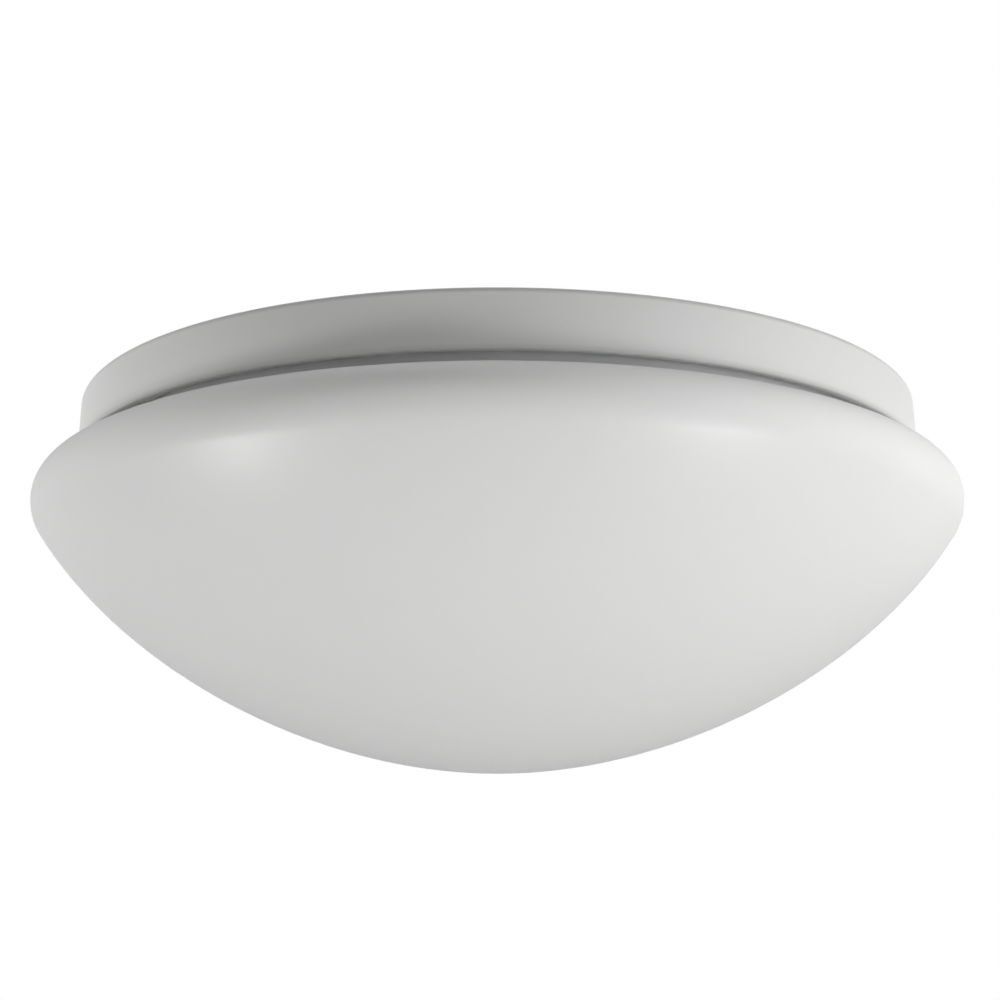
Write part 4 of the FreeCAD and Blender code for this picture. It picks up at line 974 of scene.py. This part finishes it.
# Soft boxes round the object, each with its azimuth from the camera's side, height angle, distance,
# side and power. The powers give the photo's greys, and only the two keys show in gloss.
SOFT_BOXES = {
    "left_key": (-68, -36, 1.4, 0.3, 2.77),
    "right_key": (55, -32, 1.4, 0.35, 3.08),
    "left_side": (-80, 0, 1.6, 1.6, 5.90),
    "right_low": (68, -20, 1.4, 1.0, 2.00),
    "right_front": (50, -6, 1.6, 0.9, 2.40),
    "right_high": (70, 25, 1.6, 1.0, 3.10),
    "top": (0, 88, 1.5, 1.8, 4.20),
    "left_back_high": (-140, 45, 1.5, 1.3, 0.90),
    "right_back_high": (140, 45, 1.5, 1.3, 1.50),
    "back_high": (180, 50, 1.5, 1.5, 4.50),
    "back": (180, 12, 1.6, 0.9, 4.50),
}
LIT_POINT, SPREAD = Vector((0.0, 0.0, -0.05)), 120.0


def make_soft_boxes():
    """The studio's lamps, all aimed at the object and out of the camera's sight."""
    for name, (azimuth, height, distance, side, power) in SOFT_BOXES.items():
        azimuth, height = math.radians(azimuth), math.radians(height)
        outward = math.cos(height)
        away = Vector((math.sin(azimuth) * outward, -math.cos(azimuth) * outward, math.sin(height)))
        data = bpy.data.lights.new(name, "AREA")
        data.size = side
        data.energy = power
        data.spread = math.radians(SPREAD)
        lamp = add_object(name, data)
        lamp.location = LIT_POINT + away * distance
        lamp.rotation_euler = away.to_track_quat("Z", "Y").to_euler()
        lamp.visible_camera = False
        lamp.visible_glossy = name.endswith("_key")


# The floor, in metres: half its side, its level, and the ring in which its own white rises to full
FLOOR_HALF, FLOOR_LEVEL, FLOOR_WHITE, FADE_FROM, FADE_TO = 60.0, -2.2, 0.55, 2.0, 7.0


def make_floor():
    """A plain pale floor far below, which takes the shadow and fades to white further out."""
    mesh = bpy.data.meshes.new("floor")
    corners = [(x * FLOOR_HALF, y * FLOOR_HALF, FLOOR_LEVEL) for x, y in ((-1, -1), (1, -1), (1, 1), (-1, 1))]
    mesh.from_pydata(corners, [], [(0, 1, 2, 3)])
    n = Nodes("Floor")
    n.set(Base_Color=rgb(0.82, 0.82, 0.82), Roughness=0.9, Emission_Color=rgb(1.0, 1.0, 1.0))
    away = n.add("ShaderNodeVectorMath", {0: n.place}, operation="LENGTH").outputs["Value"]
    fade = n.mapped(away, FADE_FROM, FADE_TO, FLOOR_WHITE, 1.0)
    glow = n.add("ShaderNodeMath", {0: seen_rays(n.tree), 1: fade}, operation="MULTIPLY").outputs[0]
    n.set(Emission_Strength=glow)
    mesh.materials.append(n.material)
    add_object("floor", mesh)


make_world()
make_floor()
make_soft_boxes()
bpy.context.scene.view_settings.view_transform = "Standard"
